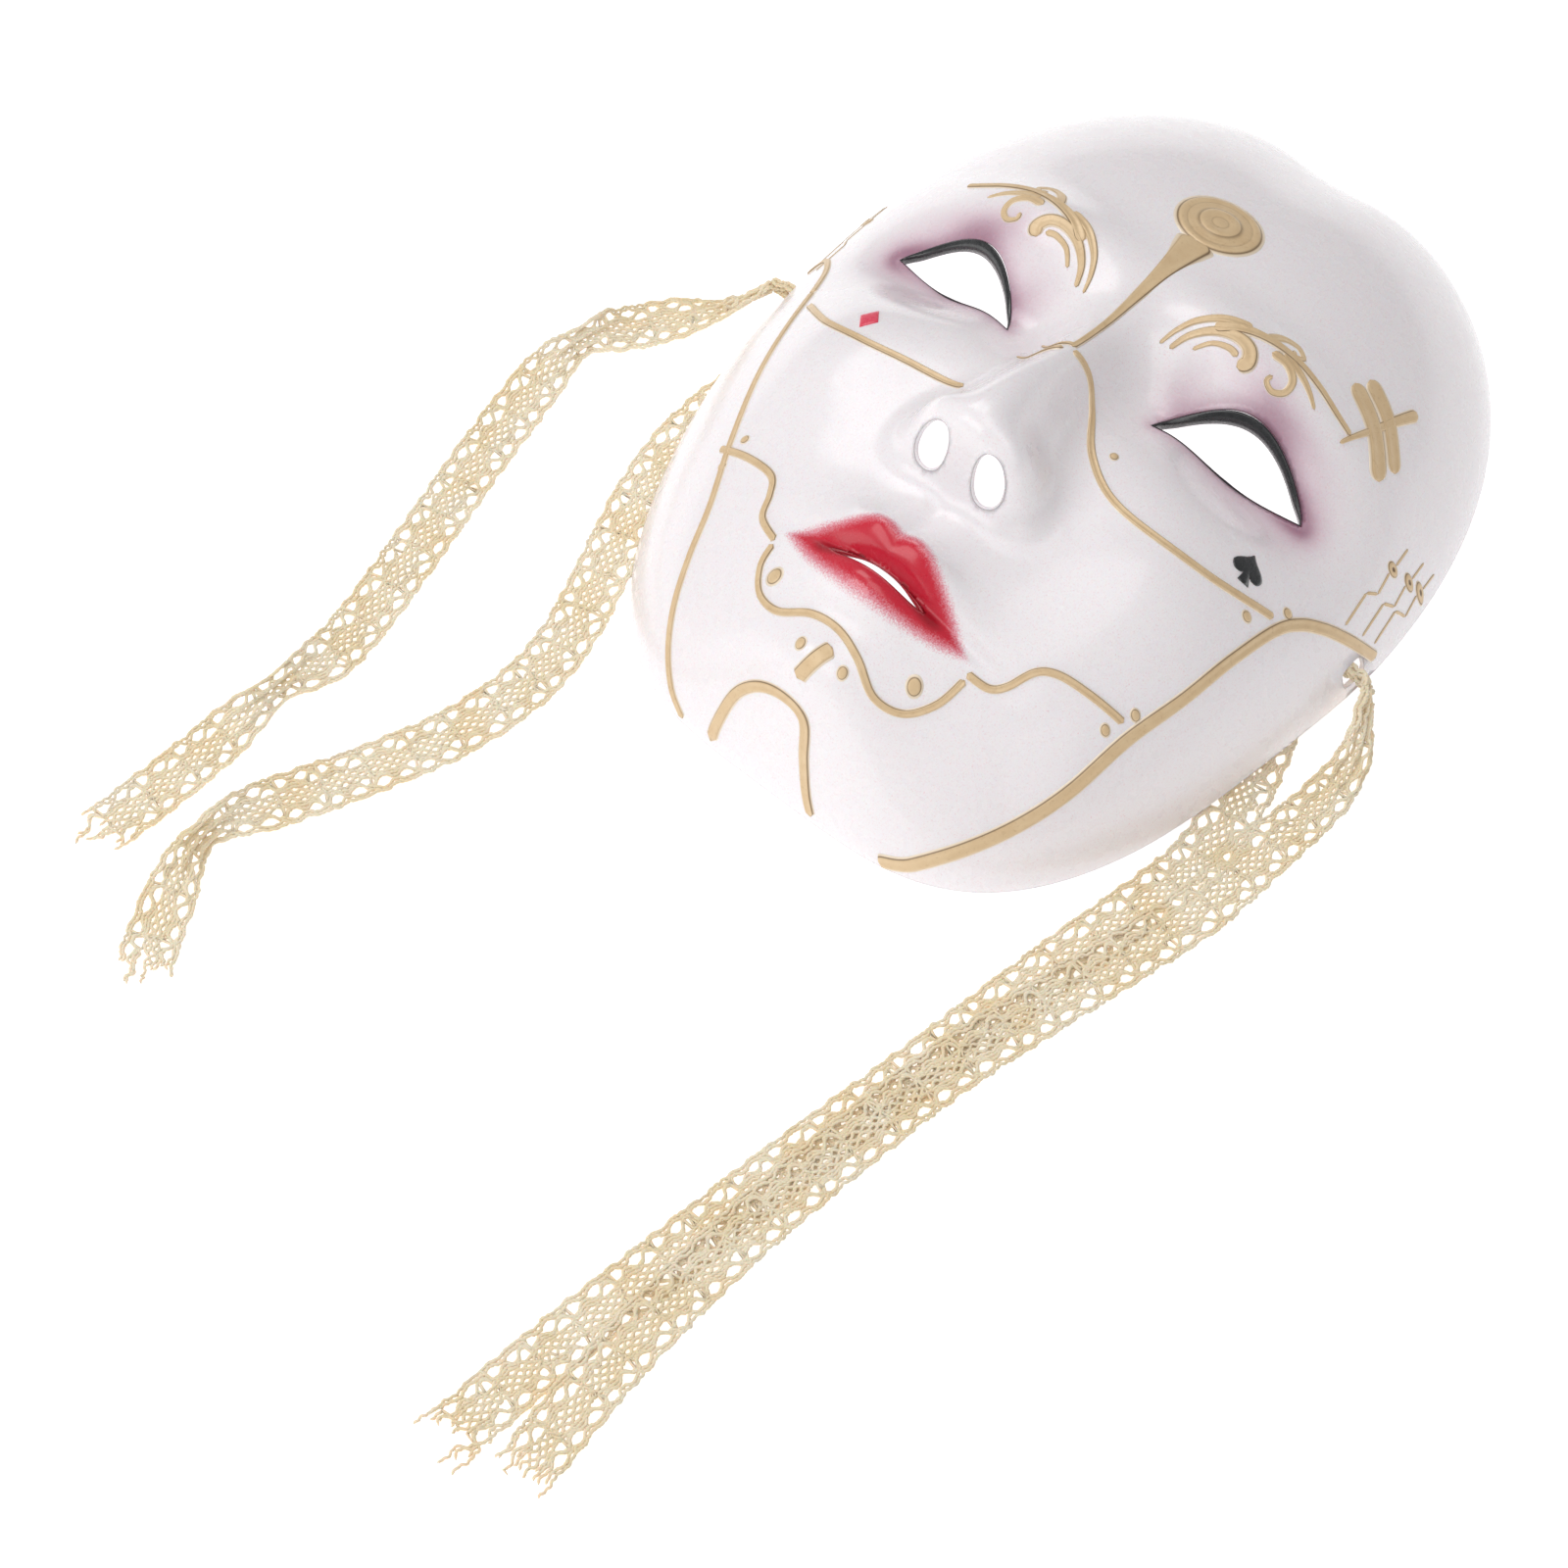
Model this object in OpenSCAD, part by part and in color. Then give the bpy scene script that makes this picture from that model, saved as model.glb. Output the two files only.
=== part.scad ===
// Full-face masquerade mask: a thin moulded plastic shell with open eyes, nostrils and
// lips, gilt seam lines and suit marks laid on it, and two lace tie ribbons.
// The mask lies face up: +Z out of the face, +Y to the forehead, +X to the wearer's left.
// Z = 0 is the plane that the rim rests on, and the origin is the middle of the outline.

/* [Shell] */
// Half of the mask's greatest width
half_width = 87; // [80:1:92]
// Half of the mask's length, chin to crown
half_length = 112; // [106:1:118]
// Height of the face plateau over the rim, without the features
dome_height = 56; // [52:1:60]
// Thickness of the moulded plastic
wall = 1.2; // [1:0.1:1.6]
// Share by which the outline narrows from the temples to the chin
jaw_taper = 0.21; // [0.2:0.01:0.3]
// Height of the arch in each side of the rim, which the ribbons pass under
side_arch = 4; // [3:0.5:5]

/* [Openings] */
// Distance from the midline to the inner corner of an eye opening
eye_inner_x = 21; // [20:0.5:23]
// Length of an eye opening
eye_length = 38; // [36:0.5:40]
// Height of the arc over an eye opening's lower edge
eye_rise = 11.5; // [10:0.5:13]
// Length of the slit between the lips
slit_length = 26; // [22:1:28]
// Half of a nostril's width
nostril_r = 3.9; // [3.6:0.1:4.6]
// Length of a ribbon slot along the rim
slot_length = 7; // [6:0.5:9]
// Height of a ribbon slot
slot_height = 4.6; // [4.2:0.2:5]

/* [Gilding] */
// Width of the broad jaw groove
groove_w = 3.4; // [2.8:0.1:4]
// Width of the fine seam lines
seam_w = 1.6; // [1.2:0.1:2]
// Height of the gilt over the shell
gilt_h = 0.5; // [0.4:0.05:0.7]

/* [Ribbons] */
// Width of the lace ribbon
ribbon_w = 13; // [11:0.5:14]
// Thickness of the lace ribbon
ribbon_t = 0.9; // [0.7:0.1:1]

/* [Hidden] */

shell_white = "#EDE9EC";
gilt_beige = "#CDB186";
lace_cream = "#F0DFC0";

// Outline: two half superellipses that meet at the widest line, y = waist_y.
waist_y = 4;
crown_power = 2.25;
jaw_power = 3.8;
taper_power = 1.4;
crown_dip = 4;
crown_dip_w = 16;
// The crown stands highest beside the dip, so it starts this much over half_length.
crown_rise = 2.5;
jaw_h = half_length + waist_y;

// Dome from the rim to the plateau: its corner and its crown.
dome_corner = 2.4;
dome_crown = 0.66;

// Where the arch in the rim's side sits, and how long it is.
arch_y = -35;
arch_length = 30;
arch_side_x = 45;
arch_side_w = 25;

// Nose: ridge from the bridge down to the tip.
bridge_y = 12;
nose_length = 54;
bridge_h = 3;
tip_h = 20;
ridge_half_w = 6.5;
ridge_flare = 5.5;
ridge_power = 2.3;
nose_base_y = -47.5;
nose_base_soft = 1.6;
brow_fade = 26;

// Swellings and hollows of the face, the same on both sides: each is
// [distance from the midline, y, spread in x, spread in y, height].
FEATURES = [
  [12.5, -42, 6, 7, 9],      // wings of the nose
  [44, 3, 22, 13, -13],      // eye sockets
  [34, 26, 26, 9, 5],        // brow ridges
  [37, 13, 17, 8, 5],        // upper lids
  [16, 0, 9, 12, -6],        // inner corners of the eyes
  [52, -32, 20, 20, 5],      // cheekbones
  [0, -74, 24, 18, 13],      // mound of the mouth
  [6, -67.5, 8, 3.6, 4],     // upper lip
  [0, -81, 12, 4.6, 5],      // lower lip
  [0, -74, 20, 1.8, -4],     // line between the lips
  [0, -90, 16, 5, -2],       // hollow under the lower lip
  [0, -100, 22, 14, 20],     // chin
  [0, -58, 3, 6, -1.5]       // groove over the upper lip
];

// Grid of the shell.
spokes = 72;
rings = 28;
ring_crowding = 0.9;
rim_fade_power = 8;
arch_fade_power = 6;
probe = 0.05;

eye_corner_y = -2.5;
eye_outer_lift = 8;
eye_sag = 0.3;
eye_steps = 16;
slit_y = -76;
slit_gap = 2.7;
slit_bow = 0.5;
nostril_x = 8;
nostril_y = -47.5;
nostril_h = 2.1;
slot_y = -4;
slot_z = 8;
cut_h = 120;
slot_cut_depth = 14;

// The lining of an eye is a thin line under the opening and broad over it.
edging_w = 0.3;
edging_over_w = 1.2;
edging_up = 0.3;
edging_depth = 2.4;
gilt_gap = 0.1;
stroke_drop = 0.04;
mark_h = 0.4;

medallion_at = [0, 51];
medallion_r = [10.5, 9];
dot_sides = 12;
disc_rings = 3;
smooth_steps = 4;
ribbon_rings = 20;
ribbon_sides = 8;

// Rows of the gilt lines, as [x, y] on the face, with the width at each end.
NOSE_SEAM = [[1, -8], [6, -8], [11, -13], [18, -22], [28, -28], [41, -29], [55, -26], [68.6, -18]];
CHEEK_LINE = [[-15, -27], [-29, -28], [-43, -29], [-55, -27], [-66, -20]];
JAW_GROOVE = [[30, -110.4], [37.5, -107.5], [46, -100], [53, -90], [58, -78], [61.5, -62],
  [65.5, -47], [68, -33], [70.5, -19], [73, -12.5], [76.5, -7.5], [80.5, -3], [84, 1], [86, 4]];
JAW_SEAM = [[-28.5, -110.6], [-34, -108], [-39, -103], [-43, -96], [-46, -87], [-49, -76],
  [-55, -62], [-61, -46], [-66, -28], [-70, -14]];
SLOT_LOOP = [[-70, -14], [-74, -4], [-79, 2], [-83, 0]];
STEP_LEFT = [[27.6, -78], [33, -77], [36, -74], [39, -68], [43, -65], [50, -63], [59, -61]];
STEP_RIGHT = [[-57, -63], [-47, -64], [-39, -66], [-36, -70], [-34, -75], [-27.6, -78.3]];
LIP_PANEL = [[-27.3, -79.2], [-27, -84], [-23, -89], [-16, -91], [-8, -89], [0, -89], [7, -91],
  [14, -94], [21, -92], [26, -86], [28, -79.2]];
CHIN_ARCH = [[-19.3, -111.3], [-18.8, -108.8], [-16.7, -105], [-12, -103], [-5, -102.6],
  [2, -103.6], [5, -107], [8.2, -110], [11, -111.6]];
CHIN_BAR = [[-3, -99.8], [1.2, -92.6]];
DOTS = [
  [-22, -85, 1.6], [20, -87, 1.6], [-6, -95, 1.1], [6, -95, 1.1], [57, -65, 1], [60, -58, 1],
  [65, -24, 1], [70, -14, 1], [22, -19, 0.9], [-52, -60, 0.9], [-53, -67, 0.9]
];
// Strokes of a brow scroll, for the wearer's left: [points, width at start, width at end].
SCROLL = [
  [[[56, 27], [51, 27.5], [45, 28.5], [38, 29], [31, 28], [24, 25.5], [19, 22]], 1.2, 2.6],
  [[[11, 12.5], [12.3, 17], [15, 21.5], [20, 25.5], [26, 27.5]], 0.7, 2.4],
  [[[13.5, 13], [15.5, 17.5], [19.5, 21.3], [24.5, 23.2], [28.6, 22.6], [30.4, 19.8], [28.8, 17.6]], 1, 3.4],
  [[[18, 15.5], [21, 18.8], [25, 20], [27.6, 19.4]], 0.8, 1.5],
  [[[33, 25.5], [37, 26], [40.3, 24], [40.6, 20.8], [38.3, 18.8], [36, 19.6], [36.4, 21.4]], 2.2, 1],
  [[[35, 28], [41, 26.6], [44.5, 25.2], [47.5, 23.4]], 2.4, 0.7],
  [[[30, 27.5], [32, 31.5], [35.5, 33], [38.3, 31.2], [37, 29.8], [35.6, 31]], 2.4, 1]
];
STITCH = [
  [[[48.5, 39], [58, 34.5], [66, 26.5]], 4.8, 4.4],
  [[[50, 43.5], [58.5, 40], [67, 32]], 4.2, 3.8],
  [[[55.5, 23.5], [57.5, 31], [59.5, 41], [61.5, 49]], 0.9, 2.8]
];
SPURS = [[[[-1, -9], [-6, -12], [-12, -11]], 1.6, 0.6], [[[0, -6], [-5, -7], [-10, -4]], 1.4, 0.6]];
NECK = [[0, 43], [0, 34], [0, 22], [0, 8], [0, -7]];
// Start of each circuit line, just over the jaw groove.
CIRCUIT_START = [[79, -1.5], [82.4, 1.8], [84.6, 4.6]];
circuit_run = 9.5;
circuit_rise = 18;
circuit_tail = 5.5;
circuit_lean = -1;
circuit_jog = 1.6;
circuit_w = 0.7;
circuit_dot_r = 1.3;
spade_at = [59, -16];
spade_size = 4;
spade_turn = 17;
diamond_at = [-46, -22.5];
diamond_size = [2.6, 3.6];

// Ribbon routes: [x, y, z, roll about the run in degrees, share of the full width].
RIGHT_OUTER = [
  [90, -5, 8, 70, 0.4], [93, -10, 6, 50, 0.45], [97, -18, 3, 20, 0.6], [98, -29, 1.2, 5, 0.8],
  [97, -41, 0.8, 0, 0.9], [95, -53, 0.8, 0, 1], [93, -72, 1.2, 0, 1], [88, -92, 2.1, 0, 1],
  [81, -116, 2.1, 0, 1], [74, -142, 2.1, 0, 1], [69, -170, 2.1, 0, 1], [65, -198, 2.1, 0, 1],
  [63, -226, 2.1, 0, 1], [63, -248, 2, 0, 1], [64, -268, 1.6, 0, 1]
];
RIGHT_INNER = [
  [80, -5, 8, 70, 0.4], [79, -12, 5, 40, 0.5], [79, -24, 1.4, 8, 0.8], [81, -36, 0.7, 0, 1],
  [84, -50, 0.7, 0, 1], [85, -65, 0.7, 0, 1], [82, -82, 0.7, 0, 1], [78, -100, 0.7, 0, 1],
  [73, -126, 0.7, 0, 1], [68, -152, 0.7, 0, 1], [62, -180, 0.7, 0, 1], [57, -208, 0.7, 0, 1],
  [52, -236, 0.7, 0, 1], [49, -255, 0.7, 0, 1], [47, -272, 0.7, 0, 1]
];
LEFT_OUTER = [
  [-90, -5, 8, -70, 0.4], [-93, -10, 6, -50, 0.45], [-98, -16, 3, -20, 0.6], [-105, -24, 1.2, 0, 0.9],
  [-112, -35, 1, 10, 0.9], [-117, -46, 3.4, 60, 0.6], [-118, -60, 1.6, 15, 0.9], [-115, -83, 0.8, 0, 1],
  [-110, -108, 0.8, 0, 1], [-105, -134, 0.8, 0, 1], [-103, -152, 1.6, 15, 0.9], [-105, -166, 3.4, 60, 0.6],
  [-107, -183, 1.2, 10, 0.9], [-109, -201, 0.8, 0, 1], [-111, -218, 0.8, 0, 1]
];
LEFT_INNER = [
  [-80, -5, 8, -70, 0.4], [-79, -12, 5, -40, 0.5], [-79, -24, 1.4, -8, 0.8], [-80, -38, 0.7, 0, 1],
  [-80, -54, 0.7, 0, 1], [-77, -70, 0.7, 0, 1], [-71, -89, 0.7, 0, 1], [-65, -108, 0.7, 0, 1],
  [-63, -126, 0.7, 0, 1], [-67, -147, 0.7, 0, 1], [-76, -168, 0.7, 0, 1], [-86, -189, 1.6, 15, 0.9],
  [-91, -204, 3.4, 60, 0.6], [-87, -220, 1.2, 10, 0.9], [-79, -237, 0.8, 0, 1]
];

// --- The surface of the face ---

function signed_power(v, p) = sign(v) * pow(abs(v), p);
function smooth(t) = let (c = min(1, max(0, t))) c * c * (3 - 2 * c);
function crown_h(x) =
  half_length - waist_y + crown_rise - crown_dip * exp(-pow(x / crown_dip_w, 2));
function jaw_half_w(y) =
  half_width * (1 - jaw_taper * pow(min(1, max(0, (waist_y - y) / jaw_h)), taper_power));

// Point of the outline at an angle.
function rim_point(a) = let (
    up_x = half_width * signed_power(cos(a), 2 / crown_power),
    up_y = waist_y + crown_h(up_x) * signed_power(sin(a), 2 / crown_power),
    down_y = waist_y - jaw_h * pow(abs(sin(a)), 2 / jaw_power),
    down_x = jaw_half_w(down_y) * signed_power(cos(a), 2 / jaw_power)
  ) sin(a) > 0 ? [up_x, up_y] : [down_x, down_y];

// 0 at the middle of the face, 1 on the outline.
function reach(x, y) = min(1, y > waist_y
  ? pow(pow(abs(x) / half_width, crown_power)
    + pow((y - waist_y) / crown_h(x), crown_power), 1 / crown_power)
  : pow(pow(abs(x) / jaw_half_w(y), jaw_power)
    + pow((waist_y - y) / jaw_h, jaw_power), 1 / jaw_power));

function feature(f, x, y) = f[4] * exp(-pow((abs(x) - f[0]) / f[2], 2) - pow((y - f[1]) / f[3], 2));
function sum(v, i = 0) = i < len(v) ? v[i] + sum(v, i + 1) : 0;
function nose(x, y) = let (
    h = bridge_h + tip_h * pow(smooth((bridge_y - y) / nose_length), 1.1),
    w = ridge_half_w + ridge_flare * smooth((-2 - y) / 40)
  ) h * exp(-pow(abs(x) / w, ridge_power)) * smooth((brow_fade - y) / brow_fade)
    / (1 + exp(-(y - nose_base_y) / nose_base_soft));
function arch(x, y) =
  side_arch * exp(-pow((y - arch_y) / arch_length, 2)) * smooth((abs(x) - arch_side_x) / arch_side_w);
function face_z(x, y) = let (r = reach(x, y))
  dome_height * pow(max(0, 1 - pow(r, dome_corner)), dome_crown)
  + (nose(x, y) + sum([for (f = FEATURES) feature(f, x, y)])) * (1 - pow(r, rim_fade_power))
  + arch(x, y) * pow(r, arch_fade_power);
function face_point(p) = [p[0], p[1], face_z(p[0], p[1])];
function unit(v) = v / norm(v);
function face_normal(p) = unit([
  face_z(p[0] - probe, p[1]) - face_z(p[0] + probe, p[1]),
  face_z(p[0], p[1] - probe) - face_z(p[0], p[1] + probe),
  2 * probe
]);

// --- Solids that follow the surface ---

// Smooth line through points, with steps pieces between each pair.
function curve_at(p, i, t) = let (
    n = len(p) - 1,
    a = p[max(0, i - 1)], b = p[i], c = p[min(n, i + 1)], d = p[min(n, i + 2)]
  ) 0.5 * (2 * b + (c - a) * t + (2 * a - 5 * b + 4 * c - d) * t * t
    + (3 * b - a - 3 * c + d) * t * t * t);
function curve(p, steps) = concat(
  [for (i = [0:len(p) - 2], k = [0:steps - 1]) curve_at(p, i, k / steps)],
  [p[len(p) - 1]]
);

// Sides of a tube whose rings hold n points each, and its two flat ends.
function tube_sides(count, n) = [
  for (i = [0:count - 2], k = [0:n - 1]) let (a = i * n + k, b = i * n + (k + 1) % n)
    each [[a, b, a + n], [b, b + n, a + n]]
];
function tube_ends(count, n) = [
  [for (k = [n - 1:-1:0]) k],
  [for (k = [0:n - 1]) (count - 1) * n + k]
];

// A flat bar that runs over the face along a line, from one width to another. With an
// ease above 1 most of the change comes near the start.
module gilt_line(points, w_start, w_end, h = gilt_h, ease = 1) {
  line = curve(points, smooth_steps);
  last = len(line) - 1;
  rows = [for (i = [0:last]) let (
      p = face_point(line[i]),
      run = face_point(line[min(last, i + 1)]) - face_point(line[max(0, i - 1)]),
      up = face_normal(line[i]),
      side = unit(cross(run, up)) * (w_end + (w_start - w_end) * pow(1 - i / last, ease)) / 2,
      low = p + up * gilt_gap,
      high = p + up * h
    ) each [low - side, low + side, high + side, high - side]];
  polyhedron(points = rows, faces = concat(tube_sides(last + 1, 4), tube_ends(last + 1, 4)));
}

// Strokes that cross, joined into one solid by a resize that keeps every size. Each stroke
// stands a little lower than the one before it, so that no two tops lie in one plane.
module gilt_strokes(strokes, mirrored = false) {
  flip = mirrored ? -1 : 1;
  resize([0, 0, 0]) union() {
    for (i = [0:len(strokes) - 1]) let (s = strokes[i])
      gilt_line([for (p = s[0]) [flip * p[0], p[1]]], s[1], s[2], gilt_h - stroke_drop * i);
  }
}

// A flat plate on the face with the given outline, which surrounds its middle.
module face_plate(middle, outline, h) {
  n = len(outline);
  flat = [
    for (up = [gilt_gap, h], s = [1:disc_rings], p = outline)
      let (q = middle + (p - middle) * s / disc_rings) face_point(q) + face_normal(q) * up
  ];
  tips = [for (up = [gilt_gap, h]) face_point(middle) + face_normal(middle) * up];
  layer = disc_rings * n;
  function ring_faces(base, up) = [
    for (s = [0:disc_rings - 2], k = [0:n - 1])
      let (a = base + s * n + k, b = base + s * n + (k + 1) % n)
        each up ? [[a, b, a + n], [b, b + n, a + n]] : [[a, a + n, b], [b, a + n, b + n]]
  ];
  faces = concat(
    ring_faces(0, true), ring_faces(layer, false),
    [for (k = [0:n - 1]) [2 * layer, (k + 1) % n, k]],
    [for (k = [0:n - 1]) [2 * layer + 1, layer + k, layer + (k + 1) % n]],
    [for (k = [0:n - 1]) let (a = layer - n + k, b = layer - n + (k + 1) % n)
      each [[a, b, a + layer], [b, b + layer, a + layer]]]
  );
  polyhedron(points = concat(flat, tips), faces = [for (f = faces) [f[2], f[1], f[0]]]);
}

module face_dot(at, r, h = gilt_h) {
  face_plate(at, [for (k = [0:dot_sides - 1]) at + r * [cos(30 * k), sin(30 * k)]], h);
}

// --- The shell ---

function eye_outline(side, grow = 0) = let (
    lower = [for (k = [0:eye_steps]) let (t = k / eye_steps) [
      eye_inner_x + eye_length * t,
      eye_corner_y + eye_outer_lift * t - eye_sag * sin(180 * t)
    ]],
    upper = [for (k = [eye_steps - 1:-1:1]) let (t = k / eye_steps) [
      eye_inner_x + eye_length * t,
      eye_corner_y + eye_outer_lift * t + eye_rise * pow(sin(180 * pow(t, 0.92)), 0.75)
    ]],
    middle = [eye_inner_x + eye_length / 2, eye_corner_y + eye_outer_lift / 2 + eye_rise / 2.5]
  ) [for (p = concat(lower, upper)) let (q = p + unit(p - middle) * grow) [side * q[0], q[1]]];

module slit_outline() {
  steps = 12;
  polygon([
    for (k = [0:steps]) let (t = 2 * k / steps - 1)
      [t * slit_length / 2, slit_y + slit_bow * (1 - t * t) + slit_gap / 2 * pow(1 - t * t, 0.6)],
    for (k = [steps - 1:-1:1]) let (t = 2 * k / steps - 1)
      [t * slit_length / 2, slit_y + slit_bow * (1 - t * t) - slit_gap / 2 * pow(1 - t * t, 0.6)]
  ]);
}

module shell_blank() {
  grid = [
    for (s = [1:rings], k = [0:spokes - 1])
      let (r = pow(sin(90 * s / rings), ring_crowding), p = rim_point(360 * k / spokes))
        [p[0] * r, waist_y + (p[1] - waist_y) * r]
  ];
  outer = [for (p = grid) face_point(p)];
  // The inner skin stands one wall inside, and both meet the table at the rim.
  inner = [
    for (s = [1:rings], k = [0:spokes - 1]) let (
        i = (s - 1) * spokes + k,
        q = outer[i],
        away = [q[0], q[1] - waist_y] / norm([q[0], q[1] - waist_y]),
        edge = pow(s / rings, rim_fade_power),
        n = face_normal(grid[i]),
        in_wall = q - n * wall
      ) [
        in_wall[0] * (1 - edge) + (q[0] - away[0] * wall) * edge,
        in_wall[1] * (1 - edge) + (q[1] - away[1] * wall) * edge,
        s == rings ? q[2] : in_wall[2] * (1 - edge) + q[2] * edge
      ]
  ];
  tips = [face_point([0, waist_y]), face_point([0, waist_y]) - [0, 0, wall]];
  layer = rings * spokes;
  function skin(base, flip) = [
    for (s = [0:rings - 2], k = [0:spokes - 1])
      let (a = base + s * spokes + k, b = base + s * spokes + (k + 1) % spokes)
        each flip ? [[a, b, a + spokes], [b, b + spokes, a + spokes]]
          : [[a, a + spokes, b], [b, a + spokes, b + spokes]]
  ];
  faces = concat(
    skin(0, false), skin(layer, true),
    [for (k = [0:spokes - 1]) [2 * layer, k, (k + 1) % spokes]],
    [for (k = [0:spokes - 1]) [2 * layer + 1, layer + (k + 1) % spokes, layer + k]],
    [for (k = [0:spokes - 1]) let (a = layer - spokes + k, b = layer - spokes + (k + 1) % spokes)
      each [[a, a + layer, b], [b, a + layer, b + layer]]]
  );
  polyhedron(points = concat(outer, inner, tips), faces = [for (f = faces) [f[2], f[1], f[0]]]);
}

// The resize keeps every size and joins the cut shell into one smooth skin.
module mask_shell() {
  color(shell_white) resize([0, 0, 0]) difference() {
    shell_blank();
    for (side = [-1, 1]) {
      translate([0, 0, -1]) linear_extrude(cut_h) polygon(eye_outline(side));
      translate([side * nostril_x, nostril_y, 0]) linear_extrude(cut_h)
        scale([nostril_r, nostril_h]) circle(1, $fn = 32);
      translate([side * half_width, slot_y, slot_z])
        cube([slot_cut_depth, slot_length, slot_height], center = true);
    }
    translate([0, 0, -1]) linear_extrude(cut_h) slit_outline();
  }
}

// A thin lining just inside the edge of an eye opening, closed on itself.
module eye_edging(side) {
  rim_line = eye_outline(side, -0.15);
  middle = [side * (eye_inner_x + eye_length / 2), eye_corner_y + eye_outer_lift / 2 + 2];
  hole_line = [for (p = rim_line) let (
      over = (p[1] - eye_corner_y - eye_outer_lift * (abs(p[0]) - eye_inner_x) / eye_length) / eye_rise
    ) p + unit(middle - p) * (edging_w + edging_over_w * smooth(2.5 * over))];
  n = len(rim_line);
  rows = [for (i = [0:n - 1]) let (a = face_point(rim_line[i]), b = face_point(hole_line[i]))
    each [a - [0, 0, edging_depth], b - [0, 0, edging_depth],
      b + [0, 0, edging_up], a + [0, 0, edging_up]]];
  faces = [for (i = [0:n - 1], k = [0:3])
    let (a = i * 4 + k, b = i * 4 + (k + 1) % 4, c = (a + 4) % (4 * n), d = (b + 4) % (4 * n))
      each [[a, c, b], [b, c, d]]];
  color("#2A2A2C") polyhedron(points = rows,
    faces = side > 0 ? faces : [for (f = faces) [f[2], f[1], f[0]]]);
}

// --- Gilding and marks ---

module forehead_medallion() {
  step_h = [gilt_h, 1.1];
  for (i = [0, 1]) {
    r = medallion_r * (1 - 0.45 * i);
    outline = [for (k = [0:23]) medallion_at + [r[0] * cos(15 * k), r[1] * sin(15 * k)]];
    color(gilt_beige) face_plate(medallion_at, outline, step_h[i]);
  }
}

module medallion_neck() color(gilt_beige) gilt_line(NECK, 9, 1.4, 0.45, 3);
module bridge_spurs() color(gilt_beige) gilt_strokes(SPURS);
module brow_scroll(mirrored) color(gilt_beige) gilt_strokes(SCROLL, mirrored);
module temple_stitch() color(gilt_beige) gilt_strokes(STITCH);
module seam(points) color(gilt_beige) gilt_line(points, seam_w, seam_w);
module jaw_groove_left() color(gilt_beige) gilt_line(JAW_GROOVE, groove_w, groove_w * 0.7);
module chin_arch() color(gilt_beige) gilt_line(CHIN_ARCH, 2.6, 2.2);
module chin_bar() color(gilt_beige) gilt_line(CHIN_BAR, 3.2, 3.2);
module seam_dots() color(gilt_beige) for (d = DOTS) face_dot([d[0], d[1]], d[2]);

// Three fine lines that jog outward, each with a round pad and a short tail past it.
module circuit_lines(side) {
  function on_side(points) = [for (p = points) [side * p[0], p[1]]];
  color(gilt_beige) for (from = CIRCUIT_START) {
    bend = from + [circuit_lean, circuit_run];
    jog = bend + [circuit_jog, 0.3 * circuit_run];
    foot = from + [circuit_jog + 2 * circuit_lean, circuit_rise];
    pad = foot + [0, circuit_dot_r + 0.1];
    top = pad + [0, circuit_dot_r + 0.1];
    gilt_line(on_side([from, bend]), circuit_w, circuit_w, 0.3);
    gilt_line(on_side([bend + [0, circuit_w], jog, foot]), circuit_w, circuit_w, 0.3);
    face_dot([side * pad[0], pad[1]], circuit_dot_r, 0.4);
    gilt_line(on_side([top, top + [circuit_lean / 2, circuit_tail]]), circuit_w, circuit_w, 0.3);
  }
}

module cheek_spade() {
  s = spade_size;
  // Point up, two round lobes and a flared stem.
  half = [[0, 1.15], [0.3, 0.7], [0.75, 0.25], [0.92, -0.15], [0.74, -0.5], [0.42, -0.55],
    [0.2, -0.42], [0.34, -1]];
  upright = concat(half, [for (i = [len(half) - 1:-1:1]) [-half[i][0], half[i][1]]]);
  outline = [for (p = upright) spade_at + s * [
    p[0] * cos(spade_turn) - p[1] * sin(spade_turn),
    p[0] * sin(spade_turn) + p[1] * cos(spade_turn)
  ]];
  clockwise = [for (i = [len(outline) - 1:-1:0]) outline[i]];
  color("#1C1C1E") face_plate(spade_at, clockwise, mark_h);
}

module cheek_diamond() {
  outline = [for (k = [0:3]) diamond_at
    + [diamond_size[0] * cos(90 * k), diamond_size[1] * sin(90 * k)]];
  edge = [for (k = [0:3], t = [0, 0.5]) outline[k] * (1 - t) + outline[(k + 1) % 4] * t];
  color("#E0405A") face_plate(diamond_at, edge, mark_h);
}

// --- Ribbons ---

// A flat ribbon swept along its route, rolled and gathered as the route says.
module ribbon(route) {
  last = ribbon_rings - 1;
  line = [for (i = [0:last]) let (
      u = i * (len(route) - 1) / last,
      k = min(len(route) - 2, floor(u))
    ) curve_at(route, k, u - k)];
  at = [for (p = line) [p[0], p[1], p[2]]];
  rows = [for (i = [0:last]) let (
      run = unit(at[min(last, i + 1)] - at[max(0, i - 1)]),
      flat = unit(cross(run, [0, 0, 1])),
      over = cross(flat, run),
      side = flat * cos(line[i][3]) + over * sin(line[i][3]),
      up = cross(side, run),
      lift = max(0, ribbon_t / 2 + 0.15 - at[i][2]
        + abs(side[2]) * ribbon_w * line[i][4] / 2)
    ) for (j = [0:ribbon_sides - 1]) let (a = 360 * (j + 0.5) / ribbon_sides)
      at[i] + [0, 0, lift]
        + side * ribbon_w * line[i][4] / 2 * signed_power(cos(a), 0.4)
        + up * ribbon_t / 2 * signed_power(sin(a), 0.4)];
  color(lace_cream) polyhedron(points = rows,
    faces = concat(tube_sides(ribbon_rings, ribbon_sides), tube_ends(ribbon_rings, ribbon_sides)));
}

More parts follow.
